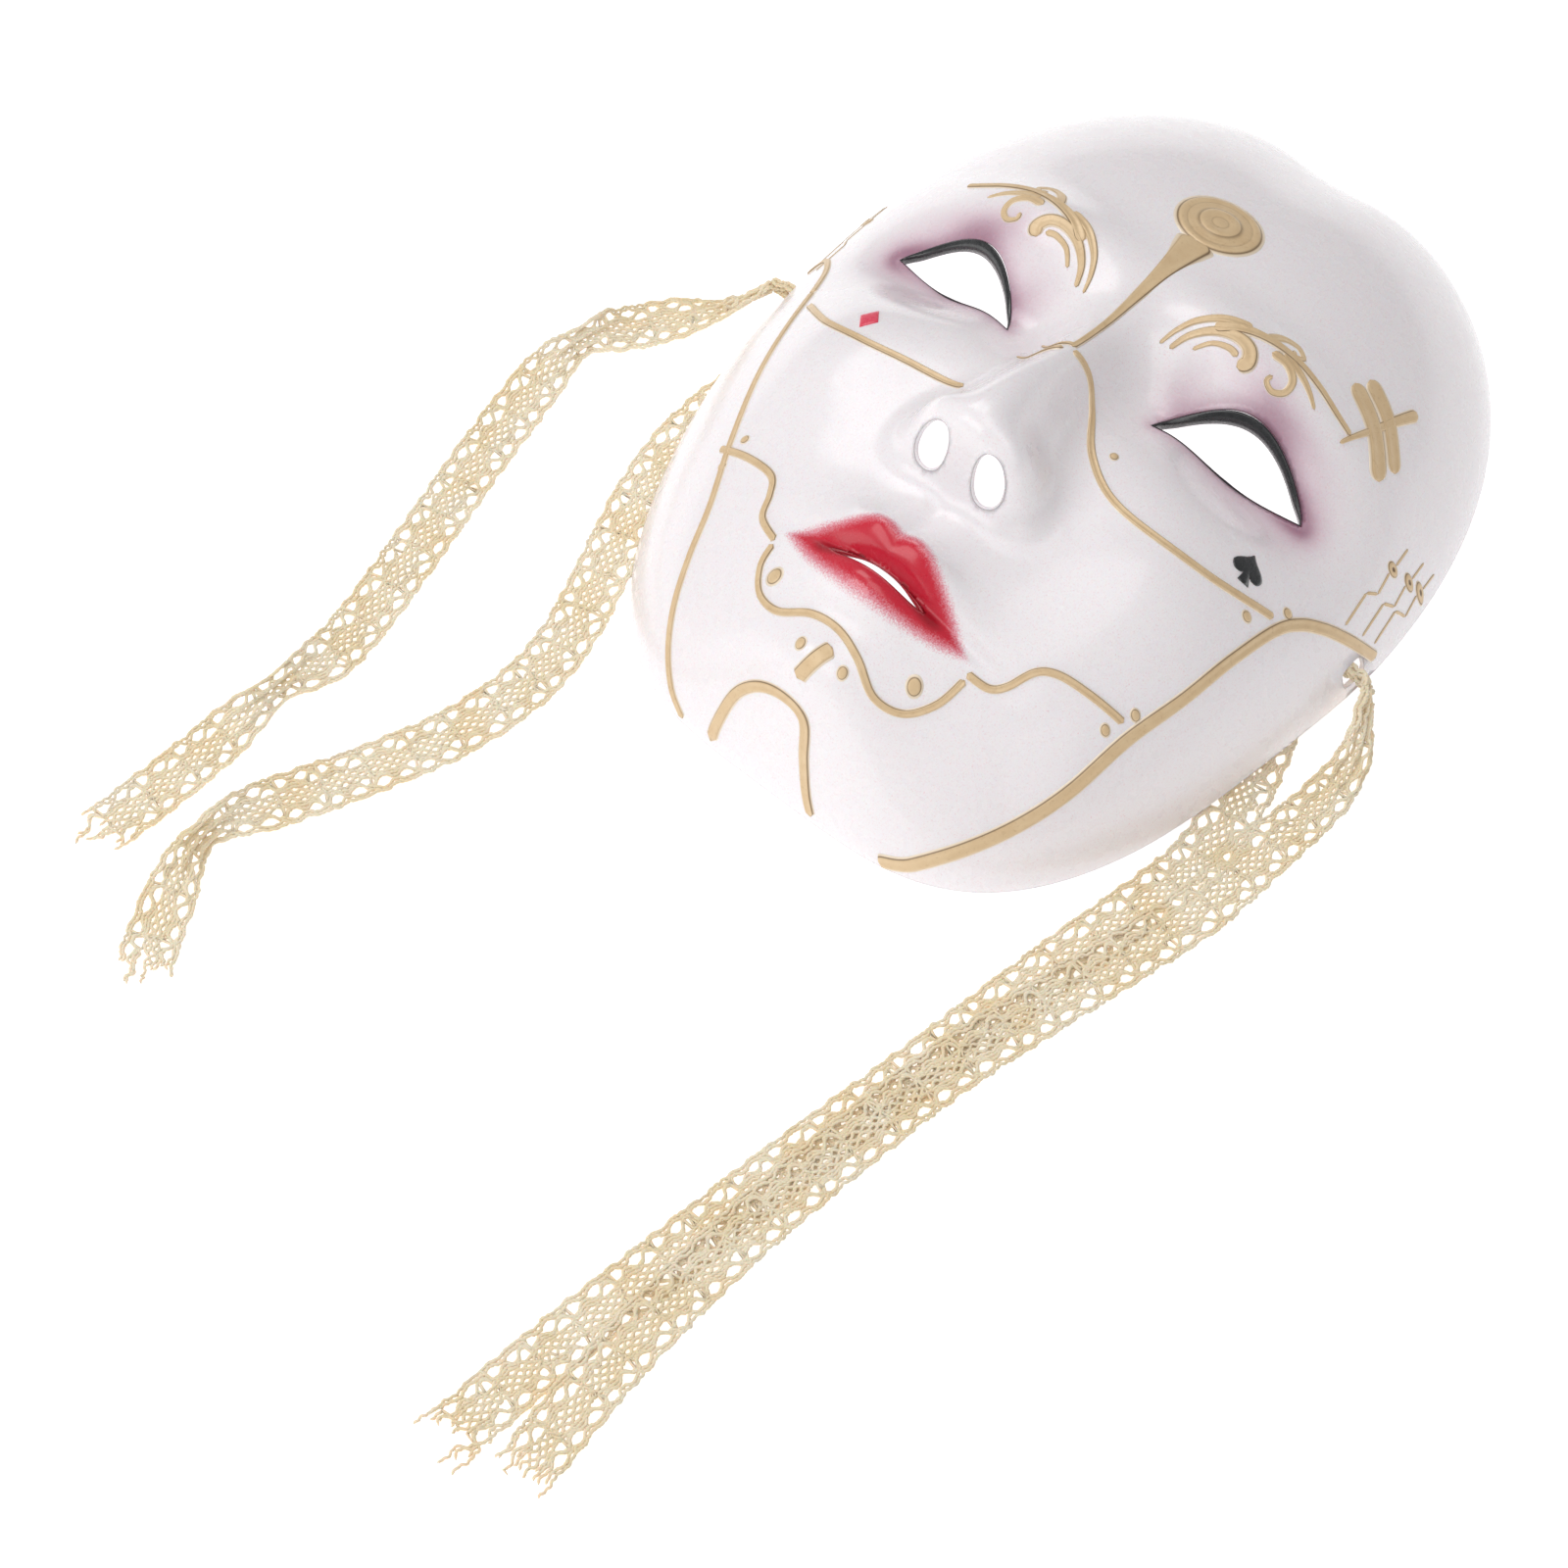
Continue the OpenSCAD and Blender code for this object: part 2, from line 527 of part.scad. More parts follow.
mask_shell();
eye_edging(1);  // eye_edging_left
eye_edging(-1);  // eye_edging_right
forehead_medallion();
medallion_neck();
bridge_spurs();
brow_scroll(false);  // brow_scroll_left
brow_scroll(true);  // brow_scroll_right
temple_stitch();
seam(NOSE_SEAM);  // nose_seam_left
seam(CHEEK_LINE);  // cheek_line_right
jaw_groove_left();
seam(JAW_SEAM);  // jaw_seam_right
seam(SLOT_LOOP);  // slot_loop_right
seam(STEP_LEFT);  // step_seam_left
seam(STEP_RIGHT);  // step_seam_right
seam(LIP_PANEL);  // lip_panel_seam
chin_arch();
chin_bar();
seam_dots();
circuit_lines(1);  // circuit_lines_left
circuit_lines(-1);  // circuit_lines_right
cheek_spade();
cheek_diamond();
ribbon(LEFT_OUTER);  // ribbon_left_outer
ribbon(LEFT_INNER);  // ribbon_left_inner
ribbon(RIGHT_OUTER);  // ribbon_right_outer
ribbon(RIGHT_INNER);  // ribbon_right_inner
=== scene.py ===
"""Full-face masquerade mask: airbrushed plastic shell, gilt seam lines and lace ribbons.

The mask lies face up in the frame of the CAD part: +Z out of the face, +Y to the forehead
and +X to the wearer's left. The face and what is laid on it are worked out in millimetres by
the formulas of the CAD shell, and each mesh is scaled to metres as it is made. The ribbon
routes are in metres.
"""
import math

import bpy
import numpy as np
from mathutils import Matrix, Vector
from mathutils.geometry import delaunay_2d_cdt


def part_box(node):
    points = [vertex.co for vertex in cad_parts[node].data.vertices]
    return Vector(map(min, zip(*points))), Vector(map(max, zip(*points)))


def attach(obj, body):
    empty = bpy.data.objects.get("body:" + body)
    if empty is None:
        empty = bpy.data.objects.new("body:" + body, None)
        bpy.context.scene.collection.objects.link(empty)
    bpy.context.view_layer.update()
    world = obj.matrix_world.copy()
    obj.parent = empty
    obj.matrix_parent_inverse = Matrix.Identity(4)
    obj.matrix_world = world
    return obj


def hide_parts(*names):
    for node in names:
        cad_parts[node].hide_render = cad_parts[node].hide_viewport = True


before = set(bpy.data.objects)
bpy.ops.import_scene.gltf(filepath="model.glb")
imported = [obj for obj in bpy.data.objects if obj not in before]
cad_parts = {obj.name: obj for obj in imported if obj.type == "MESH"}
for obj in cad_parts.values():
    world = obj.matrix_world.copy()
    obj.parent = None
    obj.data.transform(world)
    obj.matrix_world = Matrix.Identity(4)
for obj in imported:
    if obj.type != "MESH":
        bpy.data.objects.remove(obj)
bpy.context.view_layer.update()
BODY = "root"
MM = 0.001

# --- Camera ---

CAMERA_AZIMUTH = math.radians(40)
CAMERA_ELEVATION = math.radians(61)
CAMERA_DISTANCE = 0.8
CAMERA_TARGET = Vector((0, -0.108, 0))
CAMERA_LENS = 79.7


def add_camera():
    camera = bpy.data.objects.new("camera", bpy.data.cameras.new("camera"))
    bpy.context.scene.collection.objects.link(camera)
    away = Vector((
        math.sin(CAMERA_AZIMUTH) * math.cos(CAMERA_ELEVATION),
        -math.cos(CAMERA_AZIMUTH) * math.cos(CAMERA_ELEVATION),
        math.sin(CAMERA_ELEVATION),
    ))
    camera.location = CAMERA_TARGET + CAMERA_DISTANCE * away
    camera.rotation_euler = (-away).to_track_quat("-Z", "Y").to_euler()
    camera.data.lens = CAMERA_LENS
    bpy.context.scene.camera = camera


# --- Sizes of the CAD shell, in millimetres ---

shell_low, shell_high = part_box("mask_shell")
HALF_WIDTH = round((shell_high.x - shell_low.x) / 2 / MM)
HALF_LENGTH = round((shell_high.y - shell_low.y) / 2 / MM)
DOME_H = 56
WALL = 1.2
WAIST_Y = 4
JAW_TAPER = 0.21
TAPER_POWER = 1.4
CROWN_POWER = 2.25
JAW_POWER = 3.8
CROWN_DIP = 4
CROWN_DIP_W = 16
CROWN_RISE = 2.5
JAW_H = HALF_LENGTH + WAIST_Y
DOME_CORNER = 2.4
DOME_CROWN = 0.66
RIM_FADE_POWER = 8
ARCH_FADE_POWER = 6

# The arch in each side of the rim, which the ribbons pass under.
SIDE_ARCH = 4
ARCH_Y = -35
ARCH_LENGTH = 30
ARCH_SIDE_X = 45
ARCH_SIDE_W = 25

# Nose: ridge from the bridge down to the tip.
BRIDGE_Y = 12
NOSE_LENGTH = 54
BRIDGE_H = 3
TIP_H = 20
TIP_POWER = 1.1
RIDGE_HALF_W = 6.5
RIDGE_FLARE = 5.5
RIDGE_FLARE_Y = -2
RIDGE_FLARE_LENGTH = 40
RIDGE_POWER = 2.3
NOSE_BASE_Y = -47.5
NOSE_BASE_SOFT = 1.6
BROW_FADE = 26

# Swellings and hollows of the face, the same on both sides: each is
# distance from the midline, y, spread in x, spread in y, height.
FEATURES = [
    (12.5, -42, 6, 7, 9),  # wings of the nose
    (44, 3, 22, 13, -13),  # eye sockets
    (34, 26, 26, 9, 5),  # brow ridges
    (37, 13, 17, 8, 5),  # upper lids
    (16, 0, 9, 12, -6),  # inner corners of the eyes
    (52, -32, 20, 20, 5),  # cheekbones
    (0, -74, 24, 18, 13),  # mound of the mouth
    (6, -67.5, 8, 3.6, 4),  # upper lip
    (0, -81, 12, 4.6, 5),  # lower lip
    (0, -74, 20, 1.8, -4),  # line between the lips
    (0, -90, 16, 5, -2),  # hollow under the lower lip
    (0, -100, 22, 14, 20),  # chin
    (0, -58, 3, 6, -1.5),  # groove over the upper lip
]

# --- Surface of the face ---


def signed_power(value, power):
    return np.sign(value) * np.abs(value) ** power


def smooth(t):
    t = np.clip(t, 0, 1)
    return t * t * (3 - 2 * t)


def around(steps):
    """Angles once round, evenly spaced from 0."""
    return np.linspace(0, 2 * math.pi, steps, endpoint=False)


def blob(x, y, middle_x, middle_y, spread_x, spread_y):
    """A soft round hill of height 1 on each side of the midline."""
    return np.exp(-((np.abs(x) - middle_x) / spread_x) ** 2 - ((y - middle_y) / spread_y) ** 2)


def crown_h(x):
    return HALF_LENGTH - WAIST_Y + CROWN_RISE - CROWN_DIP * np.exp(-(x / CROWN_DIP_W) ** 2)


def jaw_half_w(y):
    down = np.clip((WAIST_Y - y) / JAW_H, 0, 1)
    return HALF_WIDTH * (1 - JAW_TAPER * down ** TAPER_POWER)


def rim_points(angles):
    """Points of the outline, as an array of [x, y]."""
    across, along = np.cos(angles), np.sin(angles)
    up_x = HALF_WIDTH * signed_power(across, 2 / CROWN_POWER)
    up_y = WAIST_Y + crown_h(up_x) * signed_power(along, 2 / CROWN_POWER)
    down_y = WAIST_Y - JAW_H * np.abs(along) ** (2 / JAW_POWER)
    down_x = jaw_half_w(down_y) * signed_power(across, 2 / JAW_POWER)
    up = along > 0
    return np.column_stack((np.where(up, up_x, down_x), np.where(up, up_y, down_y)))


def reach(x, y):
    """0 at the middle of the face, 1 on the outline."""
    above, below = np.maximum(y - WAIST_Y, 0), np.maximum(WAIST_Y - y, 0)
    crown = (np.abs(x) / HALF_WIDTH) ** CROWN_POWER + (above / crown_h(x)) ** CROWN_POWER
    jaw = (np.abs(x) / jaw_half_w(y)) ** JAW_POWER + (below / JAW_H) ** JAW_POWER
    return np.minimum(1, np.where(y > WAIST_Y, crown ** (1 / CROWN_POWER), jaw ** (1 / JAW_POWER)))


def nose(x, y):
    height = BRIDGE_H + TIP_H * smooth((BRIDGE_Y - y) / NOSE_LENGTH) ** TIP_POWER
    width = RIDGE_HALF_W + RIDGE_FLARE * smooth((RIDGE_FLARE_Y - y) / RIDGE_FLARE_LENGTH)
    ridge = height * np.exp(-(np.abs(x) / width) ** RIDGE_POWER)
    base = 1 + np.exp(-(y - NOSE_BASE_Y) / NOSE_BASE_SOFT)
    return ridge * smooth((BROW_FADE - y) / BROW_FADE) / base


def face_z(x, y):
    r = reach(x, y)
    relief = nose(x, y)
    for *place, height in FEATURES:
        relief = relief + height * blob(x, y, *place)
    arch = (
        SIDE_ARCH * np.exp(-((y - ARCH_Y) / ARCH_LENGTH) ** 2)
        * smooth((np.abs(x) - ARCH_SIDE_X) / ARCH_SIDE_W)
    )
    return (
        DOME_H * np.maximum(0, 1 - r ** DOME_CORNER) ** DOME_CROWN
        + relief * (1 - r ** RIM_FADE_POWER)
        + arch * r ** ARCH_FADE_POWER
    )


def face_points(plan):
    """The surface over [x, y] points."""
    return np.column_stack((plan, face_z(plan[:, 0], plan[:, 1])))


def unit(vectors):
    return vectors / np.maximum(np.linalg.norm(vectors, axis=-1, keepdims=True), 1e-9)


def face_normals(plan):
    probe = 0.05
    x, y = plan.T
    return unit(np.column_stack((
        face_z(x - probe, y) - face_z(x + probe, y),
        face_z(x, y - probe) - face_z(x, y + probe),
        np.full(len(plan), 2 * probe),
    )))


def inner_points(plan):
    """The inner skin, one wall inside, which meets the table beside the outer skin."""
    outer = face_points(plan)
    away = unit(plan - [0, WAIST_Y])
    edge = reach(*plan.T)[:, None] ** RIM_FADE_POWER
    in_wall = outer - face_normals(plan) * WALL
    at_rim = outer - np.column_stack((away, np.zeros(len(plan)))) * WALL
    return in_wall * (1 - edge) + at_rim * edge


# --- Meshes ---


def add_mesh(name, points, faces, material, replaces=(), colours=None):
    """A smooth mesh on the body. points are in millimetres, and faces all have one length."""
    faces = np.asarray(faces, np.int32)
    corners = faces.shape[1]
    mesh = bpy.data.meshes.new(name)
    mesh.vertices.add(len(points))
    mesh.vertices.foreach_set("co", (np.asarray(points) * MM).astype(np.float32).ravel())
    mesh.loops.add(faces.size)
    mesh.loops.foreach_set("vertex_index", faces.ravel())
    mesh.polygons.add(len(faces))
    mesh.polygons.foreach_set("loop_start", np.arange(0, faces.size, corners, dtype=np.int32))
    mesh.polygons.foreach_set("use_smooth", np.ones(len(faces), bool))
    mesh.update(calc_edges=True)
    mesh.validate()
    if colours is not None:
        layer = mesh.color_attributes.new("paint", "FLOAT_COLOR", "POINT")
        layer.data.foreach_set("color", np.asarray(colours, np.float32).ravel())
    mesh.materials.append(material)
    piece = bpy.data.objects.new(name, mesh)
    bpy.context.scene.collection.objects.link(piece)
    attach(piece, BODY)
    if replaces:
        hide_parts(*replaces)
    return piece


def split_quads(quads):
    quads = np.asarray(quads)
    return np.concatenate((quads[:, [0, 1, 2]], quads[:, [0, 2, 3]]))


def tube_quads(rows, sides, closed_rows=False):
    """Faces of a tube of rows rings, each of sides points."""
    last = rows if closed_rows else rows - 1
    i, k = np.meshgrid(np.arange(last), np.arange(sides), indexing="ij")
    here, there = i * sides, (i + 1) % rows * sides
    after = (k + 1) % sides
    quads = np.stack((here + k, here + after, there + after, there + k), axis=-1)
    return quads.reshape(-1, 4)


def curve(points, steps):
    """A smooth line through the points, with steps pieces between each pair."""
    points = np.asarray(points, float)
    before = np.vstack((points[:1], points[:-2])) if len(points) > 2 else points[:1]
    after = np.vstack((points[2:], points[-1:])) if len(points) > 2 else points[-1:]
    a, b, c, d = before[:, None], points[:-1, None], points[1:, None], after[:, None]
    t = np.arange(steps)[None, :, None] / steps
    line = 0.5 * (
        2 * b + (c - a) * t + (2 * a - 5 * b + 4 * c - d) * t ** 2
        + (3 * b - a - 3 * c + d) * t ** 3
    )
    return np.vstack((line.reshape(-1, points.shape[1]), points[-1:]))


def along(line):
    """Distance along a line at each of its points."""
    return np.concatenate(([0], np.cumsum(np.linalg.norm(np.diff(line, axis=0), axis=1))))


def even(line, pitch):
    """The line with its points a pitch apart, as nearly as they fit."""
    run = along(line[:, :3])
    at = np.linspace(0, run[-1], max(2, round(run[-1] / pitch)) + 1)
    return np.column_stack([np.interp(at, run, column) for column in line.T])


# --- Materials ---


class Shader:
    """One material, with short calls for its nodes. Noise is in object space, in metres."""

    def __init__(self, name, **constants):
        self.material = bpy.data.materials.new(name)
        self.material.use_nodes = True
        self.nodes = self.material.node_tree.nodes
        self.links = self.material.node_tree.links
        self.surface = self.nodes["Principled BSDF"]
        for socket, value in constants.items():
            self.surface.inputs[socket.replace("_", " ")].default_value = value
        self.place = self.nodes.new("ShaderNodeTexCoord").outputs["Object"]

    def feed(self, socket, value):
        if isinstance(value, bpy.types.NodeSocket):
            self.links.new(value, socket)
        else:
            socket.default_value = value

    def noise(self, size, detail=3):
        """Noise from 0 to 1 whose grains are about size metres across."""
        node = self.nodes.new("ShaderNodeTexNoise")
        node.inputs["Scale"].default_value = 1 / size
        node.inputs["Detail"].default_value = detail
        self.links.new(self.place, node.inputs["Vector"])
        return node.outputs["Fac"]

    def paint(self):
        """The three channels of the mesh's paint layer."""
        layer = self.nodes.new("ShaderNodeVertexColor")
        layer.layer_name = "paint"
        split = self.nodes.new("ShaderNodeSeparateColor")
        self.links.new(layer.outputs["Color"], split.inputs["Color"])
        return split.outputs["Red"], split.outputs["Green"], split.outputs["Blue"]

    def math(self, operation, a, b):
        node = self.nodes.new("ShaderNodeMath")
        node.operation = operation
        self.feed(node.inputs[0], a)
        self.feed(node.inputs[1], b)
        return node.outputs[0]

    def ramp(self, value, low, high, to_low=0, to_high=1):
        """value, from low to high, mapped smoothly to to_low to to_high."""
        node = self.nodes.new("ShaderNodeMapRange")
        node.interpolation_type = "SMOOTHSTEP"
        self.links.new(value, node.inputs["Value"])
        node.inputs["From Min"].default_value = low
        node.inputs["From Max"].default_value = high
        node.inputs["To Min"].default_value = to_low
        node.inputs["To Max"].default_value = to_high
        return node.outputs["Result"]

    def mix(self, factor, a, b):
        node = self.nodes.new("ShaderNodeMix")
        node.data_type = "RGBA"
        self.feed(node.inputs["Factor"], factor)
        self.feed(node.inputs["A"], a)
        self.feed(node.inputs["B"], b)
        return node.outputs["Result"]

    def colour(self, value):
        self.links.new(value, self.surface.inputs["Base Color"])

    def mottle(self, size, smoothest, roughest):
        """Roughness that changes in patches about size metres across."""
        value = self.ramp(self.noise(size), 0.3, 0.7, smoothest, roughest)
        self.links.new(value, self.surface.inputs["Roughness"])

    def bump(self, height, distance, strength=1.0):
        node = self.nodes.new("ShaderNodeBump")
        node.inputs["Strength"].default_value = strength
        node.inputs["Distance"].default_value = distance
        self.links.new(height, node.inputs["Height"])
        self.links.new(node.outputs["Normal"], self.surface.inputs["Normal"])


def rgb(code):
    """A linear colour from its sRGB hex code."""
    parts = [int(code[i:i + 2], 16) / 255 for i in (0, 2, 4)]
    return (*[p / 12.92 if p <= 0.04045 else ((p + 0.055) / 1.055) ** 2.4 for p in parts], 1)


def shell_material():
    """Pearly white plastic with airbrushed eye shadow and sprayed lips.

    The paint layer holds the eye shadow, the lips from their edge inward, and how near a
    point of the lips is to the line between them.
    """
    s = Shader("shell_plastic", IOR=1.48, Coat_Weight=0.35, Coat_Roughness=0.12,
               Subsurface_Weight=0.06, Subsurface_Scale=0.002)
    shadow, lips, heart = s.paint()
    cloud = s.noise(0.03, 2)
    grain = s.noise(0.0006, 4)
    fine = s.noise(0.00035, 2)
    white = s.mix(cloud, rgb("F0ECEF"), rgb("F4F1F3"))
    mist = s.math("ADD", shadow, s.math("MULTIPLY", s.math("SUBTRACT", grain, 0.5), 0.16))
    mauve = s.mix(s.ramp(shadow, 0.45, 1.0), rgb("C59CAF"), rgb("96607A"))
    shaded = s.mix(s.ramp(mist, 0.0, 1.0, 0, 0.9), white, mauve)
    spray = s.math("ADD", lips, s.math("MULTIPLY", s.math("SUBTRACT", fine, 0.5), 0.9))
    pink = s.mix(s.ramp(spray, 0.0, 0.55, 0, 0.85), shaded, rgb("DE7C8E"))
    red = s.mix(s.ramp(spray, 0.3, 0.95), pink, rgb("CB1F36"))
    s.colour(s.mix(s.ramp(heart, 0.35, 1.0, 0, 0.9), red, rgb("9A0A1E")))
    s.mottle(0.004, 0.24, 0.33)
    orange_peel = s.math("ADD", s.math("MULTIPLY", s.noise(0.0022, 2), 0.7),
                         s.math("MULTIPLY", grain, 0.3))
    s.bump(orange_peel, 0.00001, 0.5)
    return s.material


def gilt_material():
    """Gold-beige paint. The paint layer holds a painted shadow along the edges and grooves of the
    gilt, and a painted highlight round its outside.
    """
    s = Shader("gilt_paint", IOR=1.5, Metallic=0.12, Coat_Weight=0.15, Coat_Roughness=0.2)
    # The first channel is a painted shadow along the edges and grooves of the gilt, the second a
    # painted highlight round its outside.
    edge, painted_highlight_mask, _ = s.paint()
    tone = s.mix(s.noise(0.0035, 4), rgb("D3B388"), rgb("E4CBA4"))
    worn = s.mix(s.ramp(s.noise(0.0009), 0.55, 0.75, 0, 0.35), tone, rgb("BC9A70"))
    # Painted shadow, a deep brown, along the edges and grooves.
    gilt_with_painted_shade = s.mix(s.ramp(edge, 0.2, 1.0, 0, 0.85), worn, rgb("5E4630"))
    # Painted highlight, a light cream, round the outside of each line.
    s.colour(s.mix(s.ramp(painted_highlight_mask, 0.0, 1.0), gilt_with_painted_shade, rgb("EFE0CC")))
    s.mottle(0.002, 0.34, 0.5)
    s.bump(s.noise(0.0007, 4), 0.00006, 0.6)
    return s.material


def mark_material(name, tones, grain, coat, smoothest, relief):
    """Glossy paint of two close tones. relief is its grain, height and strength."""
    s = Shader(name, IOR=1.5, Coat_Weight=coat[0], Coat_Roughness=coat[1])
    s.colour(s.mix(s.noise(grain), *map(rgb, tones)))
    s.mottle(0.001, smoothest, 0.4)
    size, height, strength = relief
    s.bump(s.noise(size), height, strength)
    return s.material


def lace_material():
    """Cream cotton, darker as painted shade where a thread lies low and in the grooves of its
    twist. The paint layer holds the twist of each thread.
    """
    s = Shader("cotton_lace", Roughness=0.85, IOR=1.4, Sheen_Weight=0.35, Sheen_Roughness=0.5,
               Subsurface_Weight=0.15, Subsurface_Scale=0.0008)
    # twist marks the grooves of each thread's twist and depth how low a thread lies; both darken
    # the cotton as painted shade.
    twist, depth, _ = s.paint()
    tone = s.mix(s.ramp(s.noise(0.012), 0.35, 0.65), rgb("FBEBD2"), rgb("F6DFBA"))
    # Painted shade on threads that lie low in the lace.
    low_thread_shade = s.mix(s.ramp(depth, 0.0, 1.0, 0, 0.2), tone, rgb("F4D8AC"))
    # Painted shade in the grooves of the twist.
    s.colour(s.mix(s.ramp(twist, 0.2, 0.9, 0.2, 0), low_thread_shade, rgb("F2D9B2")))
    fuzz = s.math("ADD", twist, s.math("MULTIPLY", s.noise(0.00025), 0.6))
    s.bump(fuzz, 0.00012, 0.8)
    return s.material


# --- Shell ---

EYE_INNER_X = 21
EYE_LENGTH = 38
EYE_RISE = 11.5
EYE_CORNER_Y = -2.5
EYE_LIFT = 8
EYE_SAG = 0.3
EYE_STEPS = 44
# The arc over an eye: how far its top leans inward, and how full it is.
EYE_ARC_LEAN = 0.92
EYE_ARC_POWER = 0.75
# Height of a point well inside the opening over the line between its corners.
EYE_MIDDLE_H = EYE_RISE / 2.5
SLIT_LENGTH = 26
SLIT_GAP = 2.7
SLIT_BOW = 0.5
SLIT_Y = -76
SLIT_STEPS = 72
SLIT_POWER = 0.6
SLIT_END_POWER = 12
NOSTRIL_X = 8
NOSTRIL_Y = -47.5
NOSTRIL_SIZE = (3.9, 2.1)
SLOT_Y = -4
SLOT_Z = 8
SLOT_SIZE = (7, 4.6)
SLOT_POWER = 0.6
# The side wall beside a slot lies between this distance from the midline and the rim.
SLOT_NEAR_X = 60
SLOT_HALVINGS = 40
HOLE_STEPS = 40
LIP_ROLL = 0.45
RIM_ROLL = 0.3
LIP_ROWS = 5

LINING_GROW = 0.1
LINING_THIN_W = 0.25
LINING_BROAD_W = 1.15
LINING_WIDENING = 2.5
# Cross-section of an eye's lining: share of its width inward, height.
LINING_PROFILE = [
    (0, -2.4), (0, -1), (0, 0.18), (0.25, 0.3), (0.6, 0.24), (0.9, 0.1), (1, -0.6),
    (1, -1.9), (0.85, -2.3), (0.5, -2.4),
]

# Edge of the painted lips.
LIP_HALF_W = 27.5
LIP_CORNER_Y = -76.3
UPPER_LIP_H = 12.3
UPPER_LIP_POWER = 1.6
LOWER_LIP_H = 8.2
LOWER_LIP_POWER = 1.7
LOWER_LIP_FULLNESS = 0.9
CUPID_DIP = 1.4
CUPID_W = 3
LIP_FADE = 4.2
# The deep red beside the slit: its spread, where it ends, and how softly.
HEART_SPREAD = 2.6
HEART_END = 5
HEART_FADE = 8
HEART_DEPTH = 2

# Eye shadow round the edge of each eye: strength, reach and how sharply it ends.
SHADOW_EDGE = 0.62
SHADOW_REACH = 3.2
SHADOW_POWER = 1.4
# Soft clouds of eye shadow, the same on both sides: distance from the midline, y,
# spread in x, spread in y, strength.
SHADOW_CLOUDS = [
    (60, 6, 8, 8, 0.55),  # outer corner
    (44, 17, 15, 5, 0.5),  # lid
    (46, -4, 15, 5, 0.3),  # under the eye
    (21, 7, 7, 7, 0.4),  # beside the bridge
    (30, 22, 14, 7, 0.22),  # under the brow
]

OUTER_PITCH = 1.3
FINE_PITCH = 0.65
INNER_PITCH = 2.4
RIM_SPOKES = 512
# Rings of points close inside the rim, where the wall is steep, as shares of the way out.
RIM_RINGS = (0.9995, 0.998, 0.995, 0.99, 0.983, 0.974, 0.963)
LATTICE_REACH = 0.956
# How much the rim is stretched when the face is spread out flat, and a length that holds
# the whole of it, as a share of its plan.
RIM_STRETCH = 0.4
SPREAD_LENGTH = 1.45
ROLL_HALVINGS = 30
# How near a point may come to a hole's edge, in pitches.
HOLE_CLEARANCE = 0.8
MERGE_GAP = 1e-6
# Parts of the face with finer triangles: least and greatest distance from the midline,
# least and greatest y.
FINE_AREAS = [
    (-1, 31, -92, -57),  # mouth
    (14, 66, -8, 20),  # eyes
    (-1, 20, -57, -36),  # end of the nose
]


def eye_outline(side, grow=0.0):
    """Outline of an eye opening, counter-clockwise from its inner corner for side 1."""
    t = np.linspace(0, 1, EYE_STEPS + 1)
    x = EYE_INNER_X + EYE_LENGTH * t
    base = EYE_CORNER_Y + EYE_LIFT * t
    lower = np.column_stack((x, base - EYE_SAG * np.sin(math.pi * t)))
    arc = np.maximum(0, np.sin(math.pi * t ** EYE_ARC_LEAN)) ** EYE_ARC_POWER
    upper = np.column_stack((x, base + EYE_RISE * arc))[-2:0:-1]
    outline = np.vstack((lower, upper))
    middle = [EYE_INNER_X + EYE_LENGTH / 2, EYE_CORNER_Y + EYE_LIFT / 2 + EYE_MIDDLE_H]
    return (outline + unit(outline - middle) * grow) * [side, 1]


def slit_outline(grow):
    a = around(SLIT_STEPS)
    t, side = np.cos(a), np.sign(np.sin(a + 1e-9))
    bulge = (SLIT_GAP / 2) * np.maximum(0, 1 - t * t) ** SLIT_POWER + grow
    x = t * (SLIT_LENGTH / 2 + grow)
    y = SLIT_Y + SLIT_BOW * (1 - t * t) + side * bulge * (1 - t ** SLIT_END_POWER)
    return np.column_stack((x, y))


def nostril_outline(side, grow):
    a = around(HOLE_STEPS)
    return np.column_stack((
        side * NOSTRIL_X + (NOSTRIL_SIZE[0] + grow) * np.cos(a),
        NOSTRIL_Y + (NOSTRIL_SIZE[1] + grow) * np.sin(a),
    ))


def slot_outline(side, grow):
    """A ribbon slot's round-ended outline in y and z, carried onto the steep side wall."""
    a = around(HOLE_STEPS)
    y = SLOT_Y + (SLOT_SIZE[0] / 2 + grow) * signed_power(np.cos(a), SLOT_POWER)
    z = SLOT_Z + (SLOT_SIZE[1] / 2 + grow) * signed_power(np.sin(a), SLOT_POWER)
    inside, outside = np.full(len(a), SLOT_NEAR_X, float), np.full(len(a), HALF_WIDTH, float)
    for _ in range(SLOT_HALVINGS):
        x = (inside + outside) / 2
        high = face_z(x, y) > z
        inside, outside = np.where(high, x, inside), np.where(high, outside, x)
    return np.column_stack((side * x, y))


def unroll(plan):
    """The face spread out flat, so that its steep rim has room for even triangles."""
    dome = np.maximum(0, 1 - reach(*plan.T) ** DOME_CORNER) ** DOME_CROWN
    return (plan - [0, WAIST_Y]) * (1 + RIM_STRETCH * (1 - dome))[:, None]


def roll_up(flat):
    """Plan points of spread-out points. The inverse of unroll."""
    low, high = np.zeros(len(flat)), np.ones(len(flat))
    for _ in range(ROLL_HALVINGS):
        share = (low + high) / 2
        plan = flat * share[:, None] + [0, WAIST_Y]
        short = (unroll(plan) ** 2).sum(axis=1) < (flat ** 2).sum(axis=1)
        low, high = np.where(short, share, low), np.where(short, high, share)
    return flat * share[:, None] + [0, WAIST_Y]


